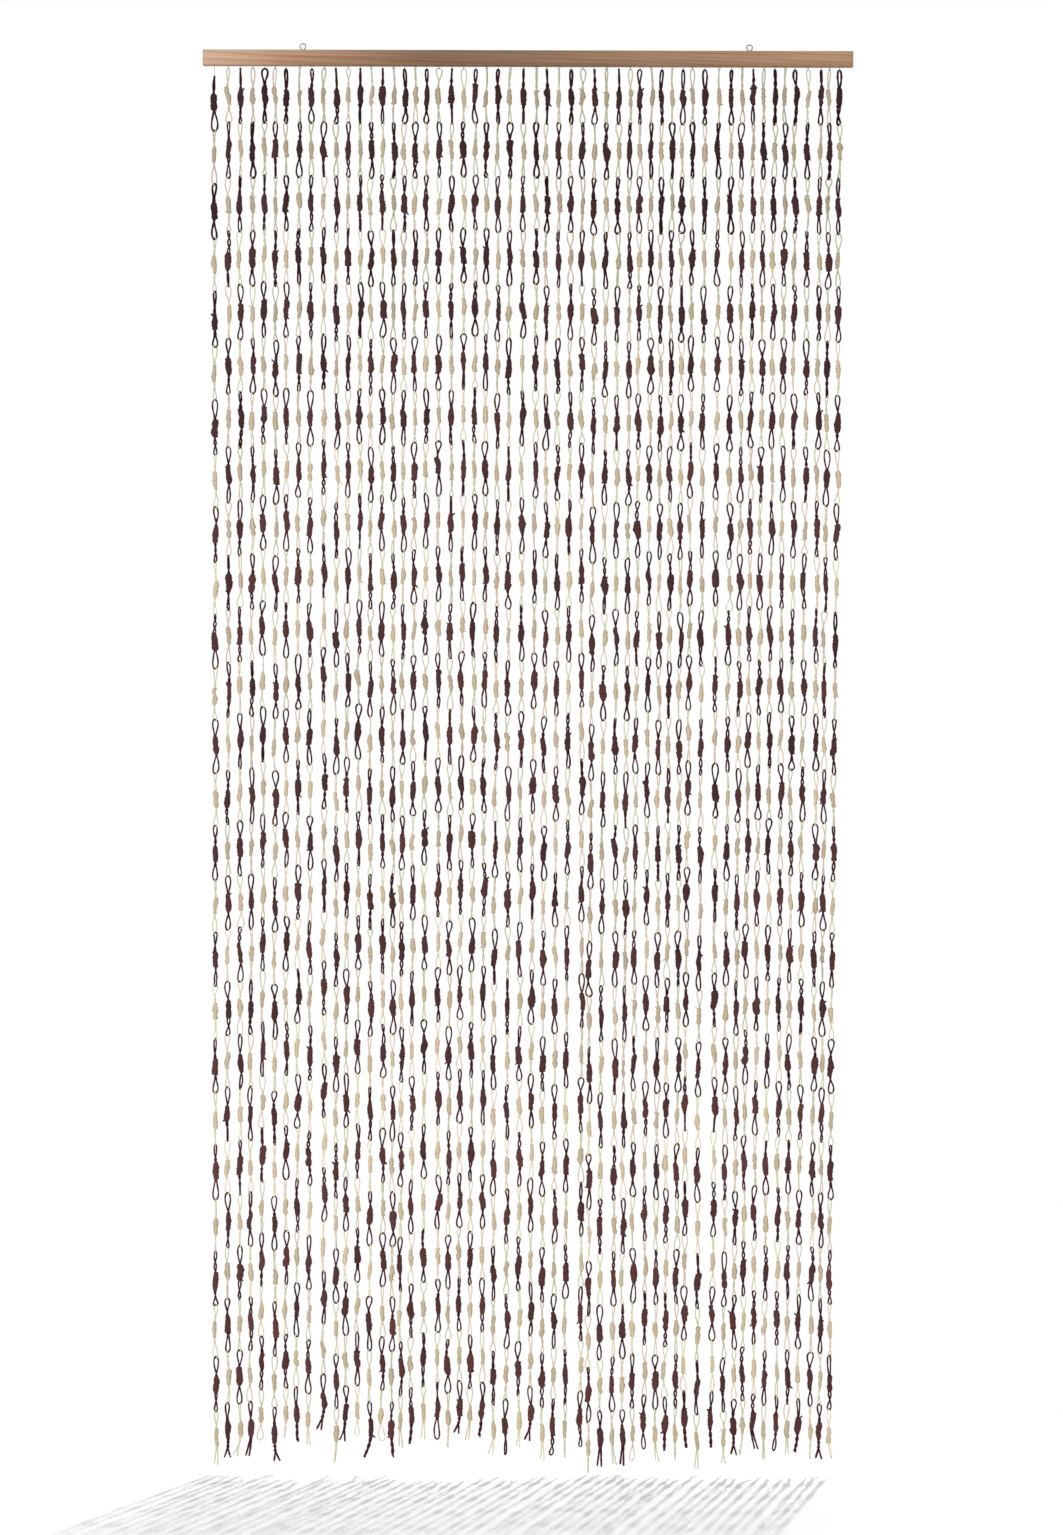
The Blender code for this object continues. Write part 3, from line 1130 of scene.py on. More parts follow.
@dataclass(frozen=True)
class PaperFinish:
    """Matt twisted paper cord.

    usual and other: the two colours that the links lie between. shade_and_cord_colour: the colour of the
    painted shade in the creases, which the bare cords also take as their own darker tone. crest: the colour
    on the folds' crests, partly the paper's wear and partly a painted highlight, and crest_share: how much of
    it shows there. spread: how much lighter or darker a link may be. lay: millimetres along the cord for one
    slant of a fold. folds: how many lie round it. wobble: how unevenly they run. patches and grain: how fine
    its colour patches and its grain are.
    fleck: how dark and how light the grain makes it. relief: how far its folds and grain stand out.
    """

    name: str
    usual: Colour
    other: Colour
    shade_and_cord_colour: Colour
    crest: Colour
    spread: float
    roughness: float
    sheen: float
    crest_share: float = 0.4
    lay: float = 4.2
    folds: float = 2.0
    wobble: float = 0.9
    patches: float = 9.0
    grain: float = 900.0
    fleck: tuple[float, float] = (0.88, 1.12)
    relief: float = 0.22 * MM

    def material(self, effects: Effects) -> bpy.types.Material:
        """Builds the material.

        Args:
            effects: the shared node groups.

        Returns:
            The material.
        """
        material, wires, shader = new_material(self.name)
        cord = wires.node("ShaderNodeUVMap", uv_map="Cord").outputs[0]
        tone = wires.node("ShaderNodeAttribute", attribute_name="tone").outputs["Vector"]
        light, hue, depth = wires.node("ShaderNodeSeparateXYZ", {0: tone}).outputs
        place = wires.place()
        folds = wires.effect(effects.twist, Vector=cord, Lay=self.lay, Folds=self.folds, Wobble=self.wobble)
        drift = wires.effect(effects.drift, Vector=place, Scale=self.patches)
        grain = wires.effect(effects.grain, Vector=place, Scale=self.grain, Contrast=1.4)
        base = wires.blend(wires.times(hue, drift["Mask"]), self.usual, self.other)
        # Lighter fold crests: partly the paper's wear, partly a painted highlight.
        crested = wires.blend(wires.times(folds["Crest"], self.crest_share), base, self.crest)
        # Painted shade in the creases and at the knots' ends; on bare cords the same colour is their own
        # darker tone.
        crease_shaded = wires.blend(depth, crested, self.shade_and_cord_colour)
        # A link's lightness carries the painted shade near the bar as well as its own tone.
        bright = wires.span(light, UNIT, (1 - self.spread, 1 + self.spread))
        value = wires.times(bright, wires.span(grain["Value"], UNIT, self.fleck))
        dull = wires.plus(self.roughness, wires.times(grain["Value"], 0.16))
        height = wires.plus(folds["Height"], wires.times(grain["Height"], 0.3))
        wires.link(
            shader,
            Base_Color=wires.shade(crease_shaded, value),
            Roughness=wires.plus(dull, wires.times(folds["Crest"], -0.12)),
            Normal=wires.bump(height, 0.7, self.relief),
        )
        shader.inputs["Specular IOR Level"].default_value = self.sheen
        return material


class Band(NamedTuple):
    """A stripe of another colour that comes and goes along the stick.

    level: where it lies, from 0 at the lower edge to 1 at the upper. width: how far it reaches from there, in
    the same measure. left and right: how strong it is at the stick's two ends. colour: its colour.
    """

    level: float
    width: float
    left: float
    right: float
    colour: Colour


@dataclass(frozen=True)
class WoodFinish:
    """Bare planed wood whose grain runs nearly along X and leaves the stick slowly.

    pale: the colour of most of it. bands: the stripes on it. dark: the colour of the late wood in its rings.
    rake: how steeply the grain falls to the right, and fall: how steeply the stripes do. pith_y and pith_z:
    the line that the rings run round. ring: from one to the next. rim: how far in from its upper and lower
    edges it is much darker, a painted shade at the lower one, and lower_shade: how far up from its lower edge
    a painted shade makes it a little darker. clouds, pores and lines: how dark and how light its patches, its
    pores and its long fibres make it, with how much they are stretched. relief: how deep its pores and rings
    are.
    """

    name: str = "Pinkish wood"
    pale: Colour = (0.575, 0.385, 0.27, 1)
    bands: tuple[Band, ...] = (
        Band(0.70, 0.21, 0.75, 0.20, (0.40, 0.33, 0.225, 1)),
        Band(0.44, 0.10, 1.0, 0.15, (0.52, 0.215, 0.155, 1)),
        Band(0.91, 0.07, 0.70, 0.55, (0.44, 0.19, 0.155, 1)),
        Band(0.10, 0.32, 0.45, 0.90, (0.51, 0.275, 0.145, 1)),
    )
    dark: Colour = (0.23, 0.13, 0.085, 1)
    rake: float = 0.034
    fall: float = 0.008
    pith_y: float = 0.055
    pith_z: float = -0.05
    ring: float = 3.2 * MM
    rim: float = 1.5 * MM
    lower_shade: float = 11 * MM
    roughness: float = 0.55
    sheen: float = 0.3
    relief: float = 0.15 * MM
    clouds: tuple[float, float] = (0.92, 1.06)
    cloud_stretch: Stretch = (2.4, 30.0, 30.0)
    pores: tuple[float, float] = (0.88, 1.10)
    pore_stretch: Stretch = (0.03, 1.0, 1.0)
    lines: tuple[float, float] = (0.84, 1.12)
    line_stretch: Stretch = (0.012, 1.0, 1.0)

    def material(self, effects: Effects) -> bpy.types.Material:
        """Builds the material.

        Args:
            effects: the shared node groups.

        Returns:
            The material.
        """
        material, wires, shader = new_material(self.name)
        along, depth, height = wires.node("ShaderNodeSeparateXYZ", {0: wires.place()}).outputs
        raked = wires.plus(height, wires.times(along, self.rake))
        grain = wires.node("ShaderNodeCombineXYZ", {0: along, 1: depth, 2: raked}).outputs[0]
        rings = self.rings(wires, grain, depth, raked)
        cloud = self.streaks(wires, effects, grain, self.cloud_stretch, 3.0)
        fine = wires.vector("MULTIPLY", grain, self.pore_stretch)
        pores = wires.effect(effects.grain, Vector=fine, Scale=2600.0, Contrast=1.7)
        long = wires.vector("MULTIPLY", grain, self.line_stretch)
        lines = wires.effect(effects.grain, Vector=long, Scale=900.0, Contrast=2.4)
        low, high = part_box("header_bar")
        level = wires.span(wires.plus(height, wires.times(along, self.fall)), (low.z, high.z), UNIT)
        colour: Any = self.pale
        for number, band in enumerate(self.bands):
            across = wires.span(wires.maths("ABSOLUTE", wires.maths("SUBTRACT", level, band.level)),
                                (0.0, band.width), (1.0, 0.0), "SMOOTHSTEP")
            near = wires.times(across, wires.span(along, (low.x, high.x), (band.left, band.right)))
            streaks = self.streaks(wires, effects, grain, (1.3 + 0.2 * number, 40.0, 40.0), 4.0)
            share = wires.times(near, wires.span(streaks, (0.0, 0.75), (0.25, 1.0)))
            colour = wires.blend(share, colour, band.colour)
        colour = wires.blend(rings, colour, self.dark)
        # Lightness along the stick and across it, with the painted shade at its lower edge.
        light = wires.times(self.along_bar(wires, along), self.toward_edges(wires, height))
        cloudy = wires.times(light, wires.span(cloud, UNIT, self.clouds))
        speck = wires.span(pores["Value"], UNIT, self.pores)
        lined = wires.times(speck, wires.span(lines["Value"], UNIT, self.lines))
        saturation = wires.span(along, (-0.45, -0.34), (0.95, 1.22))
        relief = wires.maths("SUBTRACT", pores["Height"], wires.times(rings, 0.5))
        wires.link(
            shader,
            Base_Color=wires.shade(colour, wires.times(cloudy, lined), saturation),
            Roughness=wires.plus(self.roughness, wires.times(pores["Value"], 0.2)),
            Normal=wires.bump(relief, 0.35, self.relief),
        )
        shader.inputs["Specular IOR Level"].default_value = self.sheen
        return material

    def rings(self, wires: Wiring, grain: Socket, depth: Socket, raked: Socket) -> Socket:
        """How much late wood shows.

        Args:
            wires: the node tree.
            grain: the place, turned so that X is along the grain.
            depth: its Y.
            raked: its Z.

        Returns:
            The socket with the share of late wood.
        """
        warp: Stretch = (2.2, 60.0, 60.0)
        wander = wires.noise(wires.vector("MULTIPLY", grain, warp), 1.0, 3.0)
        off_y = wires.maths("SUBTRACT", depth, self.pith_y)
        off_z = wires.maths("SUBTRACT", raked, self.pith_z)
        squares = wires.plus(wires.times(off_y, off_y), wires.times(off_z, off_z))
        reach = wires.maths("DIVIDE", wires.maths("SQRT", squares), self.ring)
        phase = wires.plus(reach, wires.times(wander, 2.2))
        saw = wires.maths("POWER", wires.maths("FRACT", phase), 2.5)
        return wires.span(saw, UNIT, (0.0, 0.36))

    @staticmethod
    def streaks(wires: Wiring, effects: Effects, grain: Socket, by: Stretch, scale: float) -> Socket:
        """Streaks of another colour along the grain.

        Args:
            wires: the node tree.
            effects: the shared node groups.
            grain: the place, turned so that X is along the grain.
            by: how much each of its axes is multiplied by.
            scale: how fine the streaks are.

        Returns:
            The socket with their mask.
        """
        return wires.effect(effects.drift, Vector=wires.vector("MULTIPLY", grain, by), Scale=scale)["Mask"]

    @staticmethod
    def along_bar(wires: Wiring, along: Socket) -> Socket:
        """How light the stick is along its length: palest at its left end and darkest left of the middle.

        Args:
            wires: the node tree.
            along: the socket with the place along X.

        Returns:
            The socket with the lightness.
        """
        falling = wires.span(along, (-0.44, -0.14), (0.98, 0.38))
        rising = wires.span(along, (-0.10, 0.38), (0.0, 0.31))
        return wires.plus(falling, rising)

    def toward_edges(self, wires: Wiring, height: Socket) -> Socket:
        """How light the stick is across its height, with its upper and lower edges a little darker, the lower
        one by a painted shade.

        Args:
            wires: the node tree.
            height: the socket with the place along Z.

        Returns:
            The socket with the lightness.
        """
        low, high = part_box("header_bar")
        # Painted shade at the lower edge and a little way up from it; the upper edge is darkened too.
        lower = wires.span(height, (low.z, low.z + self.rim), (0.80, 1.0))
        lower_shade = wires.span(height, (low.z, low.z + self.lower_shade), (0.85, 1.03))
        upper = wires.span(height, (high.z - self.rim, high.z), (1.0, 0.86))
        return wires.times(lower_shade, wires.times(lower, upper))


@dataclass(frozen=True)
class SteelFinish:
    """Pale plated wire with dull patches and faint drawing marks, and how fine those are."""

    name: str = "Plated wire"
    bright: Colour = (0.21, 0.21, 0.205, 1)
    dull: Colour = (0.11, 0.11, 0.107, 1)
    roughness: float = 0.34
    patches: float = 260.0
    marks: float = 3000.0
    relief: float = 0.05 * MM

    def material(self, effects: Effects) -> bpy.types.Material:
        """Builds the material.

        Args:
            effects: the shared node groups.

        Returns:
            The material.
        """
        material, wires, shader = new_material(self.name)
        place = wires.place()
        drift = wires.effect(effects.drift, Vector=place, Scale=self.patches)["Mask"]
        marks = wires.effect(effects.grain, Vector=place, Scale=self.marks, Contrast=1.2)["Height"]
        wires.link(
            shader,
            Base_Color=wires.blend(wires.times(drift, 0.5), self.bright, self.dull),
            Roughness=wires.plus(self.roughness, wires.times(drift, 0.16)),
            Normal=wires.bump(marks, 0.25, self.relief),
        )
        shader.inputs["Metallic"].default_value = 1.0
        return material


class Finishes:
    """Every finish of the curtain, built once."""

    def __init__(self) -> None:
        """Builds the node groups and the materials."""
        effects = Effects()
        self.brown = PaperFinish(
            name="Brown paper cord",
            usual=(0.072, 0.031, 0.031, 1),
            other=(0.122, 0.036, 0.028, 1),
            shade_and_cord_colour=(0.053, 0.009, 0.0105, 1),
            crest=(0.168, 0.096, 0.094, 1),
            spread=0.45,
            roughness=0.78,
            sheen=0.06,
        ).material(effects)
        self.cream = PaperFinish(
            name="Cream paper cord",
            usual=(0.75, 0.605, 0.465, 1),
            other=(0.61, 0.63, 0.39, 1),
            shade_and_cord_colour=(0.44, 0.32, 0.175, 1),
            crest=(0.82, 0.74, 0.575, 1),
            spread=0.26,
            roughness=0.74,
            sheen=0.15,
        ).material(effects)
        self.wood = WoodFinish().material(effects)
        self.steel = SteelFinish().material(effects)


@dataclass
class PaperStrings:
    """The 55 strings of links, and how they hang.

    brown and cream: the sizes of the two kinds of links. raised: how much higher the first loop rests where
    it is a cream one. wander and kept: how far a joint of two links strays up or down, and how much of that
    the next one keeps. knot_stray and side_stray: how far a knot strays along its string and across it.
    first_spread: how much the turn of the strings varies, and turned_share: how many start a quarter turn
    on. front_spread, lower_spread and end_spread: how much the turn varies for the first loops, the lower
    loops and the lowest ends. brown_fold: how much of its upper loop's turn a brown link's lower loop keeps.
    crossing: the least and the most turn from one link's loop to the loop in it.
    """

    brown: PaperLink = PaperLink(
        cord=1.27 * MM,
        knot=4.35 * MM,
        half=13.0 * MM,
        throat=2.1 * MM,
        cord_tone=0.92,
        wrap_tone=0.1,
        crease_shade=0.6,
        cord_hue=0.7,
        top_hue=-0.6,
    )
    cream: PaperLink = PaperLink(
        cord=0.86 * MM,
        knot=3.3 * MM,
        half=12.2 * MM,
        throat=1.6 * MM,
        cord_tone=0.1,
        wrap_tone=0.38,
        crease_shade=0.75,
        cord_hue=0.5,
        top_hue=0.45,
    )
    raised: float = 2 * MM
    wander: float = 0.9 * MM
    kept: float = 0.86
    knot_stray: float = 1.7 * MM
    side_stray: float = 0.75 * MM
    first_spread: float = 0.6
    turned_share: float = 0.4
    front_spread: float = 0.15
    lower_spread: float = 0.5
    end_spread: float = 0.35
    brown_fold: float = 0.45
    crossing: tuple[float, float] = (0.7, 1.4)

    def lay_out(self, hooks_z: float) -> Links:
        """Works out where every link hangs.

        Args:
            hooks_z: the height of the line of the hooks.

        Returns:
            All the links, string by string from the left and from the top down.
        """
        chance = np.random.default_rng(SEED)
        sways = [random.Random(SWAY_SEED), random.Random(SWAY_SEED + 1)]
        rows = []
        for number, strand in enumerate(STRANDS):
            sway = SWAY * sways[number % 2].uniform(-1, 1)
            rows += self.one_string(number, strand, sway, hooks_z, chance)
        return Links(*(np.array(column) for column in zip(*rows)))

    def joints(self, start: float, last: float, is_cream: bool, chance: np.random.Generator) -> list[float]:
        """The heights where a string's links meet.

        Args:
            start: the height of its place on the line of the hooks.
            last: the height of its last knot.
            is_cream: whether it begins with a cream link.
            chance: the source of the links' differences.

        Returns:
            The heights from the hook down, one for each link.
        """
        pitch = (start - FIRST_KNOT - last) / (LINKS - 1)
        heights = [start - FIRST_LOOP + (self.raised if is_cream else 0.0)]
        wander = 0.0
        for link in range(1, LINKS):
            wander = self.kept * wander + chance.normal(0, self.wander)
            eased = wander * math.sin(math.pi * link / LINKS)
            heights.append(start - FIRST_KNOT - pitch * (link - 0.5) + eased)
        return heights

    def one_string(
        self,
        number: int,
        strand: Strand,
        sway: float,
        hooks_z: float,
        chance: np.random.Generator,
    ) -> list[tuple]:
        """Works out where the links of one string hang.

        Args:
            number: the string's place from the left. Those with an odd number begin with a cream link.
            strand: its sizes.
            sway: how far it swings out of line on its way down.
            hooks_z: the height of the line of the hooks.
            chance: the source of the links' differences.

        Returns:
            One row for each link, in the order of the fields of Links.
        """
        first = number % 2
        last = hooks_z - strand.drop * MM
        foot = last - strand.tail * MM
        joints = [*self.joints(hooks_z - strand.slack * MM, last, bool(first), chance), foot]
        y = OFF_CENTRE if first else -OFF_CENTRE

        def at(height: float) -> np.ndarray:
            """The point of the string at a height.

            Args:
                height: its Z.

            Returns:
                The point.
            """
            down = (hooks_z - height) / (hooks_z - foot)
            x = (strand.hook + strand.lean * down) * MM + sway * math.sin(2 * math.pi * down)
            return np.array((x, y, height))

        rows = []
        turn = chance.normal(0, 1) * self.first_spread
        turn += math.pi / 2 if chance.uniform() < self.turned_share else 0.0
        for link in range(LINKS):
            is_brown = (link + first) % 2 == 0
            cord = (self.brown if is_brown else self.cream).cord
            upper = at(joints[link])
            upper[2] += cord
            lower = at(joints[link + 1])
            ends = link == LINKS - 1
            if ends:
                lower[0] += strand.swing * MM
            else:
                lower[2] -= cord
            middle = at((joints[link] + joints[link + 1]) / 2 + chance.normal(0, self.knot_stray))
            if ends:
                middle = at(last)
            middle[:2] += chance.normal(0, self.side_stray, 2)
            gape = 0.0
            if link == 0:
                gape = strand.first.value * MM
                turn = math.pi / 2 if strand.first is Look.LINE else 0.0
                turn += chance.normal(0, self.front_spread)
            folded = (turn + math.pi / 2) % math.pi - math.pi / 2
            lower_turn = (self.brown_fold if is_brown else 1.0) * folded + chance.normal(0, self.lower_spread)
            ending = 1 + ENDINGS.index(strand.ending) if ends else 0
            if ends and strand.ending is not Ending.LINE:
                lower_turn = chance.normal(0, self.end_spread)
            rows.append((
                number,
                link,
                is_brown,
                upper,
                middle,
                lower,
                turn,
                lower_turn,
                ending,
                strand.swing * MM if ends else 0.0,
                gape,
            ))
            crossing = chance.uniform(*self.crossing)
            turn = max(lower_turn + crossing, lower_turn - crossing, key=lambda angle: abs(math.cos(angle)))
        return rows

    def build(self, links: Links, finishes: Finishes) -> None:
        """Makes the links bay by bay, one piece for each colour of each bay.

        Args:
            links: where the links hang.
            finishes: the finishes.
        """
        for bay in range(math.ceil(len(STRANDS) / BAY)):
            here = links.strand // BAY == bay
            for is_brown, word, sizes, material in (
                (True, "brown", self.brown, finishes.brown),
                (False, "cream", self.cream, finishes.cream),
            ):
                chance = np.random.default_rng((SEED, bay, int(is_brown)))
                stock = sizes.make(links.only(here & (links.brown == is_brown)), chance)
                name = f"{word}_links_{bay + 1}"
                show(name, stock.mesh(name), material, STRING_NODES)


@dataclass(frozen=True)
class WireEye:
    """A ring bent from wire on a straight shank.

    outer: the ring's outer radius. wire: the wire's radius. gap: the part of the ring left open, in turns.
    steps: rings of vertices round the ring. sides: vertices in each. shank: from the ring's middle up or down
    to the shank's end. bend: where the ring starts, in turns from the shank.
    """

    outer: float
    wire: float
    gap: float
    steps: int
    sides: int
    shank: float = 15 * MM
    bend: float = 0.22

    def form(self) -> Form:
        """The faces of its tube: the ring and the four points of its shank and neck."""
        return tube_form(self.steps + 4, self.sides, Patch(0, 0, 1, 1))

    def line(self, up: int) -> np.ndarray:
        """The wire's centre line round the origin, in the XZ plane.

        Args:
            up: 1 where the shank points up, -1 where it points down.

        Returns:
            Its points, from the shank's end to the ring's open end.
        """
        middle = self.outer - self.wire
        turns = 2 * math.pi * np.linspace(self.bend, 1 - self.gap, self.steps)
        ring = [(middle * math.sin(turn), 0.0, up * middle * math.cos(turn)) for turn in turns]
        neck = [(middle * x, 0.0, up * (middle * z)) for x, z in ((0.0, 1.45), (0.18, 1.12), (0.66, 0.78))]
        return np.array([(0.0, 0.0, up * self.shank)] + neck + ring)

    def add(self, stock: Stock, form: Form, centre: tuple[float, float, float], turn: float, up: int) -> None:
        """Adds one eye.

        Args:
            stock: where it goes.
            form: its tube's faces.
            centre: the middle of its ring.
            turn: how far it is turned about the upright axis.
            up: 1 where the shank points up, -1 where it points down.
        """
        line = self.line(up)
        across = np.array((-math.sin(turn), math.cos(turn), 0.0))
        turned = np.outer(line[:, 0], (math.cos(turn), math.sin(turn), 0.0)) + np.outer(line[:, 2], (0, 0, 1))
        turned = (turned + np.array(centre))[None]
        radius = np.full((1, len(line)), self.wire)
        aside = np.broadcast_to(across, turned.shape)
        points = tube_points(turned, radius, aside, self.sides)
        along = lengths_along(turned)[:, form.along.astype(int)]
        stock.add(form, points, along, np.zeros_like(points), np.zeros((1, 2)))


@dataclass
class Hardware:
    """The two eye screws on the bar and the row of tiny wire hooks under it.

    screw and hook: their sizes. The shank of each hook is made to reach the bar. sunk: how far it stands in
    there.
    """

    screw: WireEye = WireEye(outer=4.7 * MM, wire=0.75 * MM, gap=0.035, steps=40, sides=12)
    hook: WireEye = WireEye(outer=1.9 * MM, wire=0.3 * MM, gap=0.08, steps=9, sides=5)
    sunk: float = 1.5 * MM

    def build_screws(self, steel: bpy.types.Material) -> None:
        """Makes the eye screws where the frame has them."""
        form = self.screw.form()
        for node in ("eye_left", "eye_right"):
            low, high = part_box(node)
            stock = Stock()
            centre = ((low.x + high.x) / 2, 0.0, high.z - self.screw.outer)
            self.screw.add(stock, form, centre, 0.0, -1)
            show(f"{node}_wire", stock.mesh(node), steel, (node,))

    def build_hooks(self, strings: PaperStrings, links: Links, steel: bpy.types.Material) -> None:
        """Makes a hook for each string, turned square to the loop that hangs in it.

        Args:
            strings: the strings, for the thickness of their cords.
            links: where the links hang.
            steel: the hooks' material.
        """
        bar_low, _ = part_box("header_bar")
        first = links.only(links.order == 0)
        form = self.hook.form()
        stock = Stock()
        for number in range(len(STRANDS)):
            x, y, z = first.upper[number]
            cord = (strings.brown if first.brown[number] else strings.cream).cord
            centre_z = z - cord + self.hook.outer - 2 * self.hook.wire
            eye = replace(self.hook, shank=bar_low.z - centre_z + self.sunk)
            eye.add(stock, form, (x, y, centre_z), first.upper_turn[number] + math.pi / 2, 1)
        show("wire_hooks", stock.mesh("wire_hooks"), steel, STRING_NODES)


@dataclass
class HeaderBar:
    """The squared stick, with eased edges that planing and handling left a little uneven.

    edge: radius of the eased edges, and softness: how much of it they have. ease and inset: how far from its
    end the stick is half eased, and how much thinner it is there, in edges. dent: how deep its dents are.
    sections: how many lengths it is made in. corner_steps: faces round each edge. crease_angle: the
    angle from which two faces meet in a line that shows.

    rows: how many parts of its length lie one above another in the baked map, with a margin round each.
    walls: how much of that map's height they take. ends: where its two ends go.
    """

    edge: float = 0.8 * MM
    softness: tuple[float, float] = (0.8, 1.25)
    ease: float = 0.3
    inset: float = 0.28
    dent: float = 0.03 * MM
    sections: int = 96
    corner_steps: int = 4
    crease_angle: float = math.radians(40)
    rows: int = 4
    margin: float = 0.02
    walls: float = 0.92
    ends: tuple[Patch, Patch] = (Patch(0.02, 0.93, 0.14, 0.99), Patch(0.52, 0.93, 0.64, 0.99))

    def profile(self, half_depth: float, half_height: float, edge: float) -> list[tuple[float, float]]:
        """The stick's outline across its length.

        Args:
            half_depth: half of its depth.
            half_height: half of its height.
            edge: radius of its corners.

        Returns:
            Depth and height of each point, once round.
        """
        points = []
        for corner, (right, top) in enumerate(((1, -1), (1, 1), (-1, 1), (-1, -1))):
            for step in range(self.corner_steps + 1):
                turn = math.pi / 2 * (corner - 1 + step / self.corner_steps)
                points.append((
                    right * (half_depth - edge) + edge * math.cos(turn),
                    top * (half_height - edge) + edge * math.sin(turn),
                ))
        return points

    def build(self, wood: bpy.types.Material) -> None:
        """Makes the bar where the frame has it.

        Args:
            wood: its material.
        """
        low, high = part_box("header_bar")
        chance = random.Random(SEED)
        half_depth = (high.y - low.y) / 2
        half_height = (high.z - low.z) / 2
        centre_y = (high.y + low.y) / 2
        centre_z = (high.z + low.z) / 2
        stations = [(low.x, self.edge), (low.x + self.ease * self.edge, self.inset * self.edge)]
        for section in range(self.sections + 1):
            share = section / self.sections
            stations.append((low.x + self.edge + (high.x - low.x - 2 * self.edge) * share, 0.0))
        stations += [(high.x - self.ease * self.edge, self.inset * self.edge), (high.x, self.edge)]
        rings = []
        for x, inset in stations:
            soft = self.edge * chance.uniform(*self.softness)
            dent = self.dent * chance.uniform(0, 1)
            rings.append([
                (x, centre_y + y, centre_z + z)
                for y, z in self.profile(half_depth - inset - dent, half_height - inset - dent, soft)
            ])
        show("bar_wood", self.skin(rings), wood, ("header_bar",))

    def skin(self, rings: list[list[tuple[float, float, float]]]) -> bpy.types.Mesh:
        """Joins rings of points into a closed mesh with its baked map.

        Args:
            rings: the points, ring by ring.

        Returns:
            The mesh.
        """
        around = len(rings[0])
        count = len(rings)
        points = [point for ring in rings for point in ring]
        faces = []
        places = []
        row_height = self.walls / self.rows
        filled = 1 - 2 * self.margin
        per_row = math.ceil((count - 1) / self.rows)
        for ring in range(count - 1):
            row = ring // per_row
            start = (ring - row * per_row) / per_row
            end = start + 1 / per_row
            for side in range(around):
                beside = (side + 1) % around
                faces.append((
                    ring * around + side,
                    (ring + 1) * around + side,
                    (ring + 1) * around + beside,
                    ring * around + beside,
                ))
                bottom = (row + self.margin + filled * side / around) * row_height
                top = (row + self.margin + filled * (side + 1) / around) * row_height
                places += [(start, bottom), (end, bottom), (end, top), (start, top)]
        orders = (range(around), range(around - 1, -1, -1))
        for ring, order, patch in zip((0, count - 1), orders, self.ends):
            faces.append([ring * around + side for side in order])
            _, lowest_y, lowest_z = (min(axis) for axis in zip(*rings[ring]))
            _, highest_y, highest_z = (max(axis) for axis in zip(*rings[ring]))
            for side in order:
                _, y, z = rings[ring][side]
                across = (z - lowest_z) / (highest_z - lowest_z)
                up = (y - lowest_y) / (highest_y - lowest_y)
                places.append(patch.at(across, up))
        mesh = bpy.data.meshes.new("bar_wood")
        mesh.from_pydata(points, [], faces)
        layer = mesh.uv_layers.new(name="OFBake")
        layer.uv.foreach_set("vector", np.array(places, np.float32).ravel())
        mesh.shade_smooth()
        mesh.set_sharp_from_angle(angle=self.crease_angle)
        mesh.validate()
        return mesh


class Lamp(NamedTuple):
    """A lamp of the studio.

    name: its name. power: in watts. size: how long a square lamp's sides are, or a round lamp's radius.
    place: where it hangs.
    """

    name: str
    power: float
    size: float
    place: Stretch


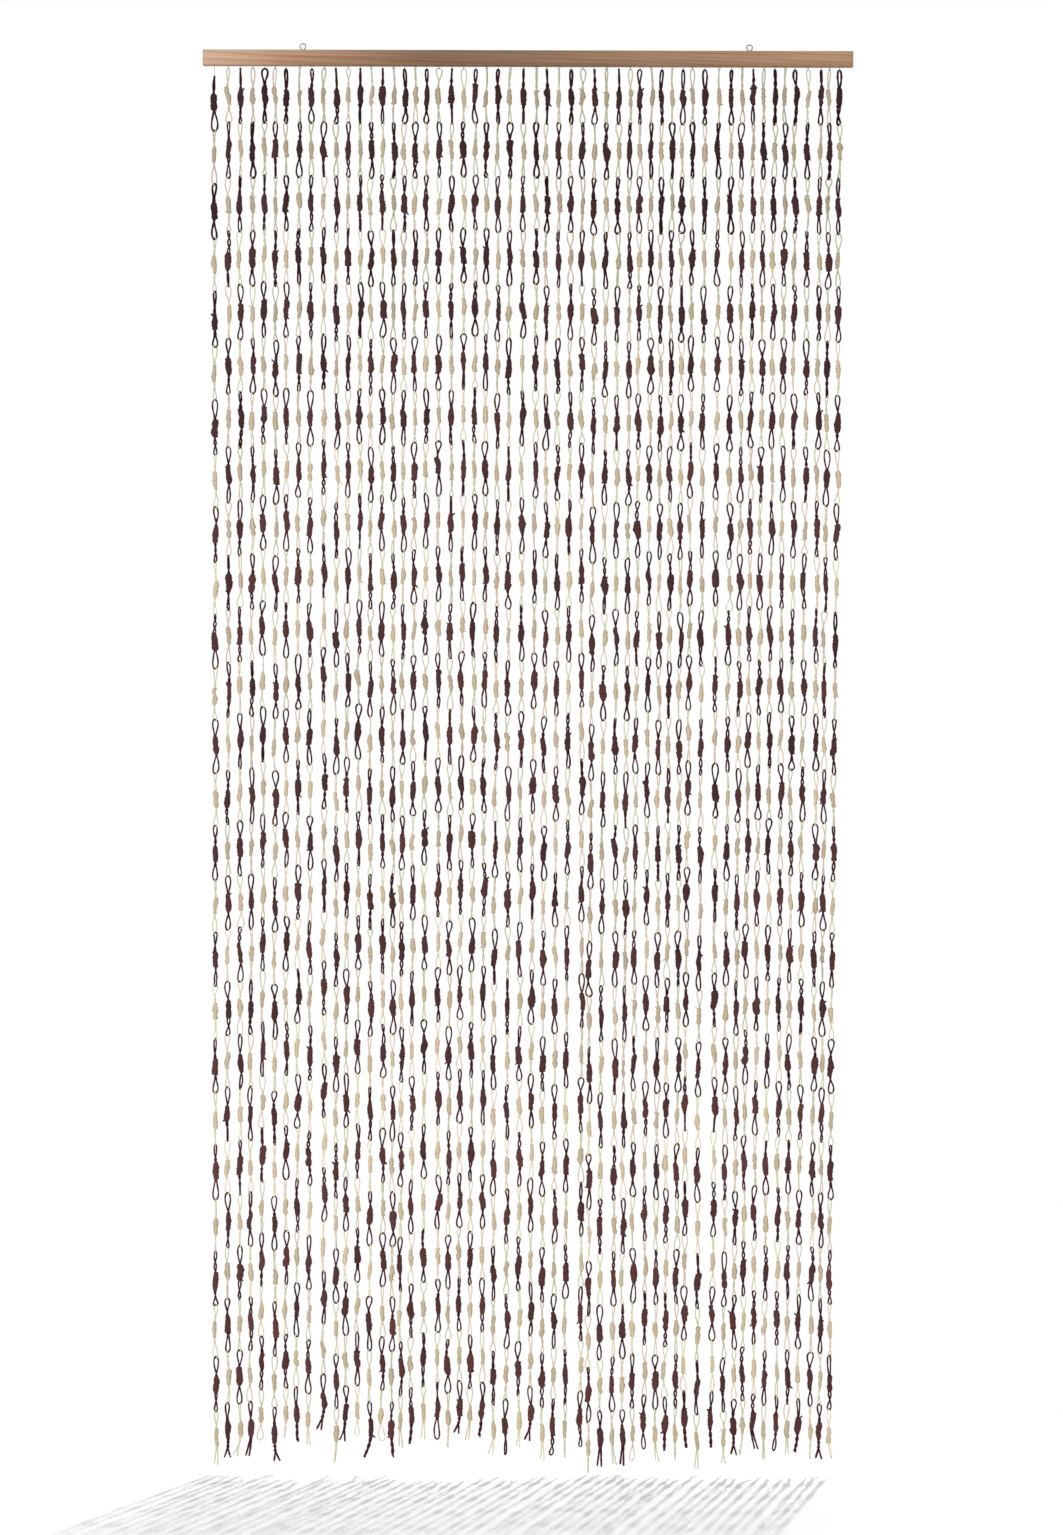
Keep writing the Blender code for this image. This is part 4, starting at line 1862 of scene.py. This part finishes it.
@dataclass
class Studio:
    """The pale floor, the white surroundings, the lamps and the camera.

    floor_drop: from the curtain's lowest end down to the floor. floor_colour: its colour, and bounce: the
    colour of the light that it throws back. near and far: between these distances from middle, a place in
    front of the curtain, the floor fades into the white surroundings. room_lamps: square lamps that light
    all of it, turned to aim. floor_lamps: round lamps that light the floor alone. fill: how strongly the
    surroundings light the curtain, against how strongly they show. camera_place, tilt, roll and lens: where
    the camera is, how far it looks down and leans, and its lens in millimetres.
    """

    floor_drop: float = 2 * MM
    floor_radius: float = 9.0
    floor_colour: Colour = (0.50, 0.496, 0.507, 1.0)
    bounce: Colour = (0.55, 0.55, 0.55, 1.0)
    middle: Stretch = (-0.15, -1.1, 0.0)
    near: float = 1.12
    far: float = 1.5
    room_lamps: tuple[Lamp, ...] = (
        Lamp("Front lamp", 115.0, 2.4, (-1.2, -4.2, 0.6)),
        Lamp("Rear lamp", 115.0, 2.4, (1.2, 4.2, 0.6)),
    )
    aim: Stretch = (0.0, 0.0, -0.9)
    floor_lamps: tuple[Lamp, ...] = (
        Lamp("Small shadow lamp", 1050.0, 0.073, (1.5, 3.3, 1.83)),
        Lamp("Broad shadow lamp", 390.0, 0.5, (0.4, 3.3, 1.83)),
        Lamp("Left floor lamp", 18.0, 0.3, (-1.6, -1.0, -1.2)),
    )
    fill: float = 0.62
    camera_place: Stretch = (7.59 * MM, -4.5, -0.7938)
    tilt: float = math.radians(2.6)
    roll: float = math.radians(0.16)
    lens: float = 75.546

    def build(self) -> None:
        """Builds the whole studio."""
        self.camera()
        self.world()
        self.lamps(self.floor())

    def camera(self) -> None:
        """Places the camera in front of the curtain, a little below its middle height and tilted down."""
        data = bpy.data.cameras.new("Camera")
        data.lens = self.lens
        data.sensor_width = 36.0
        data.clip_end = 100.0
        camera = bpy.data.objects.new("Camera", data)
        turn = Matrix.Rotation(math.pi / 2 - self.tilt, 4, "X") @ Matrix.Rotation(self.roll, 4, "Z")
        camera.matrix_world = Matrix.Translation(self.camera_place) @ turn
        bpy.context.scene.collection.objects.link(camera)
        bpy.context.scene.camera = camera

    def world(self) -> None:
        """Makes the surroundings look white and lights the curtain a little less than that."""
        world = bpy.data.worlds.new("White surroundings")
        world.use_nodes = True
        wires = Wiring(world.node_tree)
        back = world.node_tree.nodes["Background"]
        back.inputs["Color"].default_value = WHITE
        seen = wires.node("ShaderNodeLightPath").outputs["Is Camera Ray"]
        wires.link(back, Strength=wires.span(seen, UNIT, (self.fill, 1.0)))
        bpy.context.scene.world = world
        bpy.context.scene.view_settings.view_transform = "Standard"

    def floor(self) -> bpy.types.Object:
        """Lays a round floor that fades into the surroundings away from the curtain.

        Returns:
            The floor.
        """
        height = CAD_BOX[0].z - self.floor_drop
        steps = 96
        turns = [2 * math.pi * step / steps for step in range(steps)]
        radius = self.floor_radius
        rim = [(radius * math.cos(turn), radius * math.sin(turn), height) for turn in turns]
        mesh = bpy.data.meshes.new("floor")
        mesh.from_pydata(rim, [], [list(range(steps))])
        material, wires, shader = new_material("Pale floor")
        shader.inputs["Base Color"].default_value = self.floor_colour
        shader.inputs["Roughness"].default_value = 0.9
        flat = wires.vector("MULTIPLY", wires.vector("SUBTRACT", wires.place(), self.middle), (1.0, 1.0, 0.0))
        reach = wires.node("ShaderNodeVectorMath", {0: flat}, operation="LENGTH").outputs["Value"]
        fade = wires.span(reach, (self.near, self.far), UNIT, "SMOOTHSTEP")
        glow = wires.node("ShaderNodeEmission", {"Color": WHITE, "Strength": 1.0}).outputs[0]
        shown = wires.node("ShaderNodeMixShader", {0: fade, 1: shader.outputs[0], 2: glow}).outputs[0]
        thrown = wires.node("ShaderNodeBsdfDiffuse", {"Color": self.bounce}).outputs[0]
        seen = wires.node("ShaderNodeLightPath").outputs["Is Camera Ray"]
        mixed = wires.node("ShaderNodeMixShader", {0: seen, 1: thrown, 2: shown}).outputs[0]
        wires.link(material.node_tree.nodes["Material Output"], Surface=mixed)
        mesh.materials.append(material)
        floor = bpy.data.objects.new("floor", mesh)
        bpy.context.scene.collection.objects.link(floor)
        return floor

    def lamps(self, floor: bpy.types.Object) -> None:
        """Hangs the lamps, of which the last three light the floor alone.

        Args:
            floor: what those three light, two of them past the strings that stand in their way.
        """
        for lamp in self.room_lamps:
            hung = self.hang(lamp, "AREA")
            hung.data.size = lamp.size
            hung.rotation_euler = (Vector(self.aim) - Vector(lamp.place)).to_track_quat("-Z", "Y").to_euler()
        lit = bpy.data.collections.new("Lit by the floor lamps")
        lit.objects.link(floor)
        for lamp in self.floor_lamps:
            hung = self.hang(lamp, "POINT")
            hung.data.shadow_soft_size = lamp.size
            hung.light_linking.receiver_collection = lit

    @staticmethod
    def hang(lamp: Lamp, kind: str) -> bpy.types.Object:
        """Hangs one lamp out of the camera's sight.

        Args:
            lamp: which one.
            kind: its Blender type.

        Returns:
            The lamp, not yet sized or turned.
        """
        data = bpy.data.lights.new(lamp.name, kind)
        data.energy = lamp.power
        hung = bpy.data.objects.new(lamp.name, data)
        hung.location = lamp.place
        hung.visible_camera = False
        bpy.context.scene.collection.objects.link(hung)
        return hung


def main() -> None:
    """Builds the studio and the curtain from the bar down."""
    logging.basicConfig(level=logging.INFO, format="%(name)s %(message)s")
    Studio().build()
    finishes = Finishes()
    HeaderBar().build(finishes.wood)
    bar_low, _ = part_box("header_bar")
    hooks_z = bar_low.z - HOOK_LINE
    strings = PaperStrings()
    links = strings.lay_out(hooks_z)
    hardware = Hardware()
    hardware.build_screws(finishes.steel)
    hardware.build_hooks(strings, links, finishes.steel)
    strings.build(links, finishes)


if __name__ == "__main__":
    main()
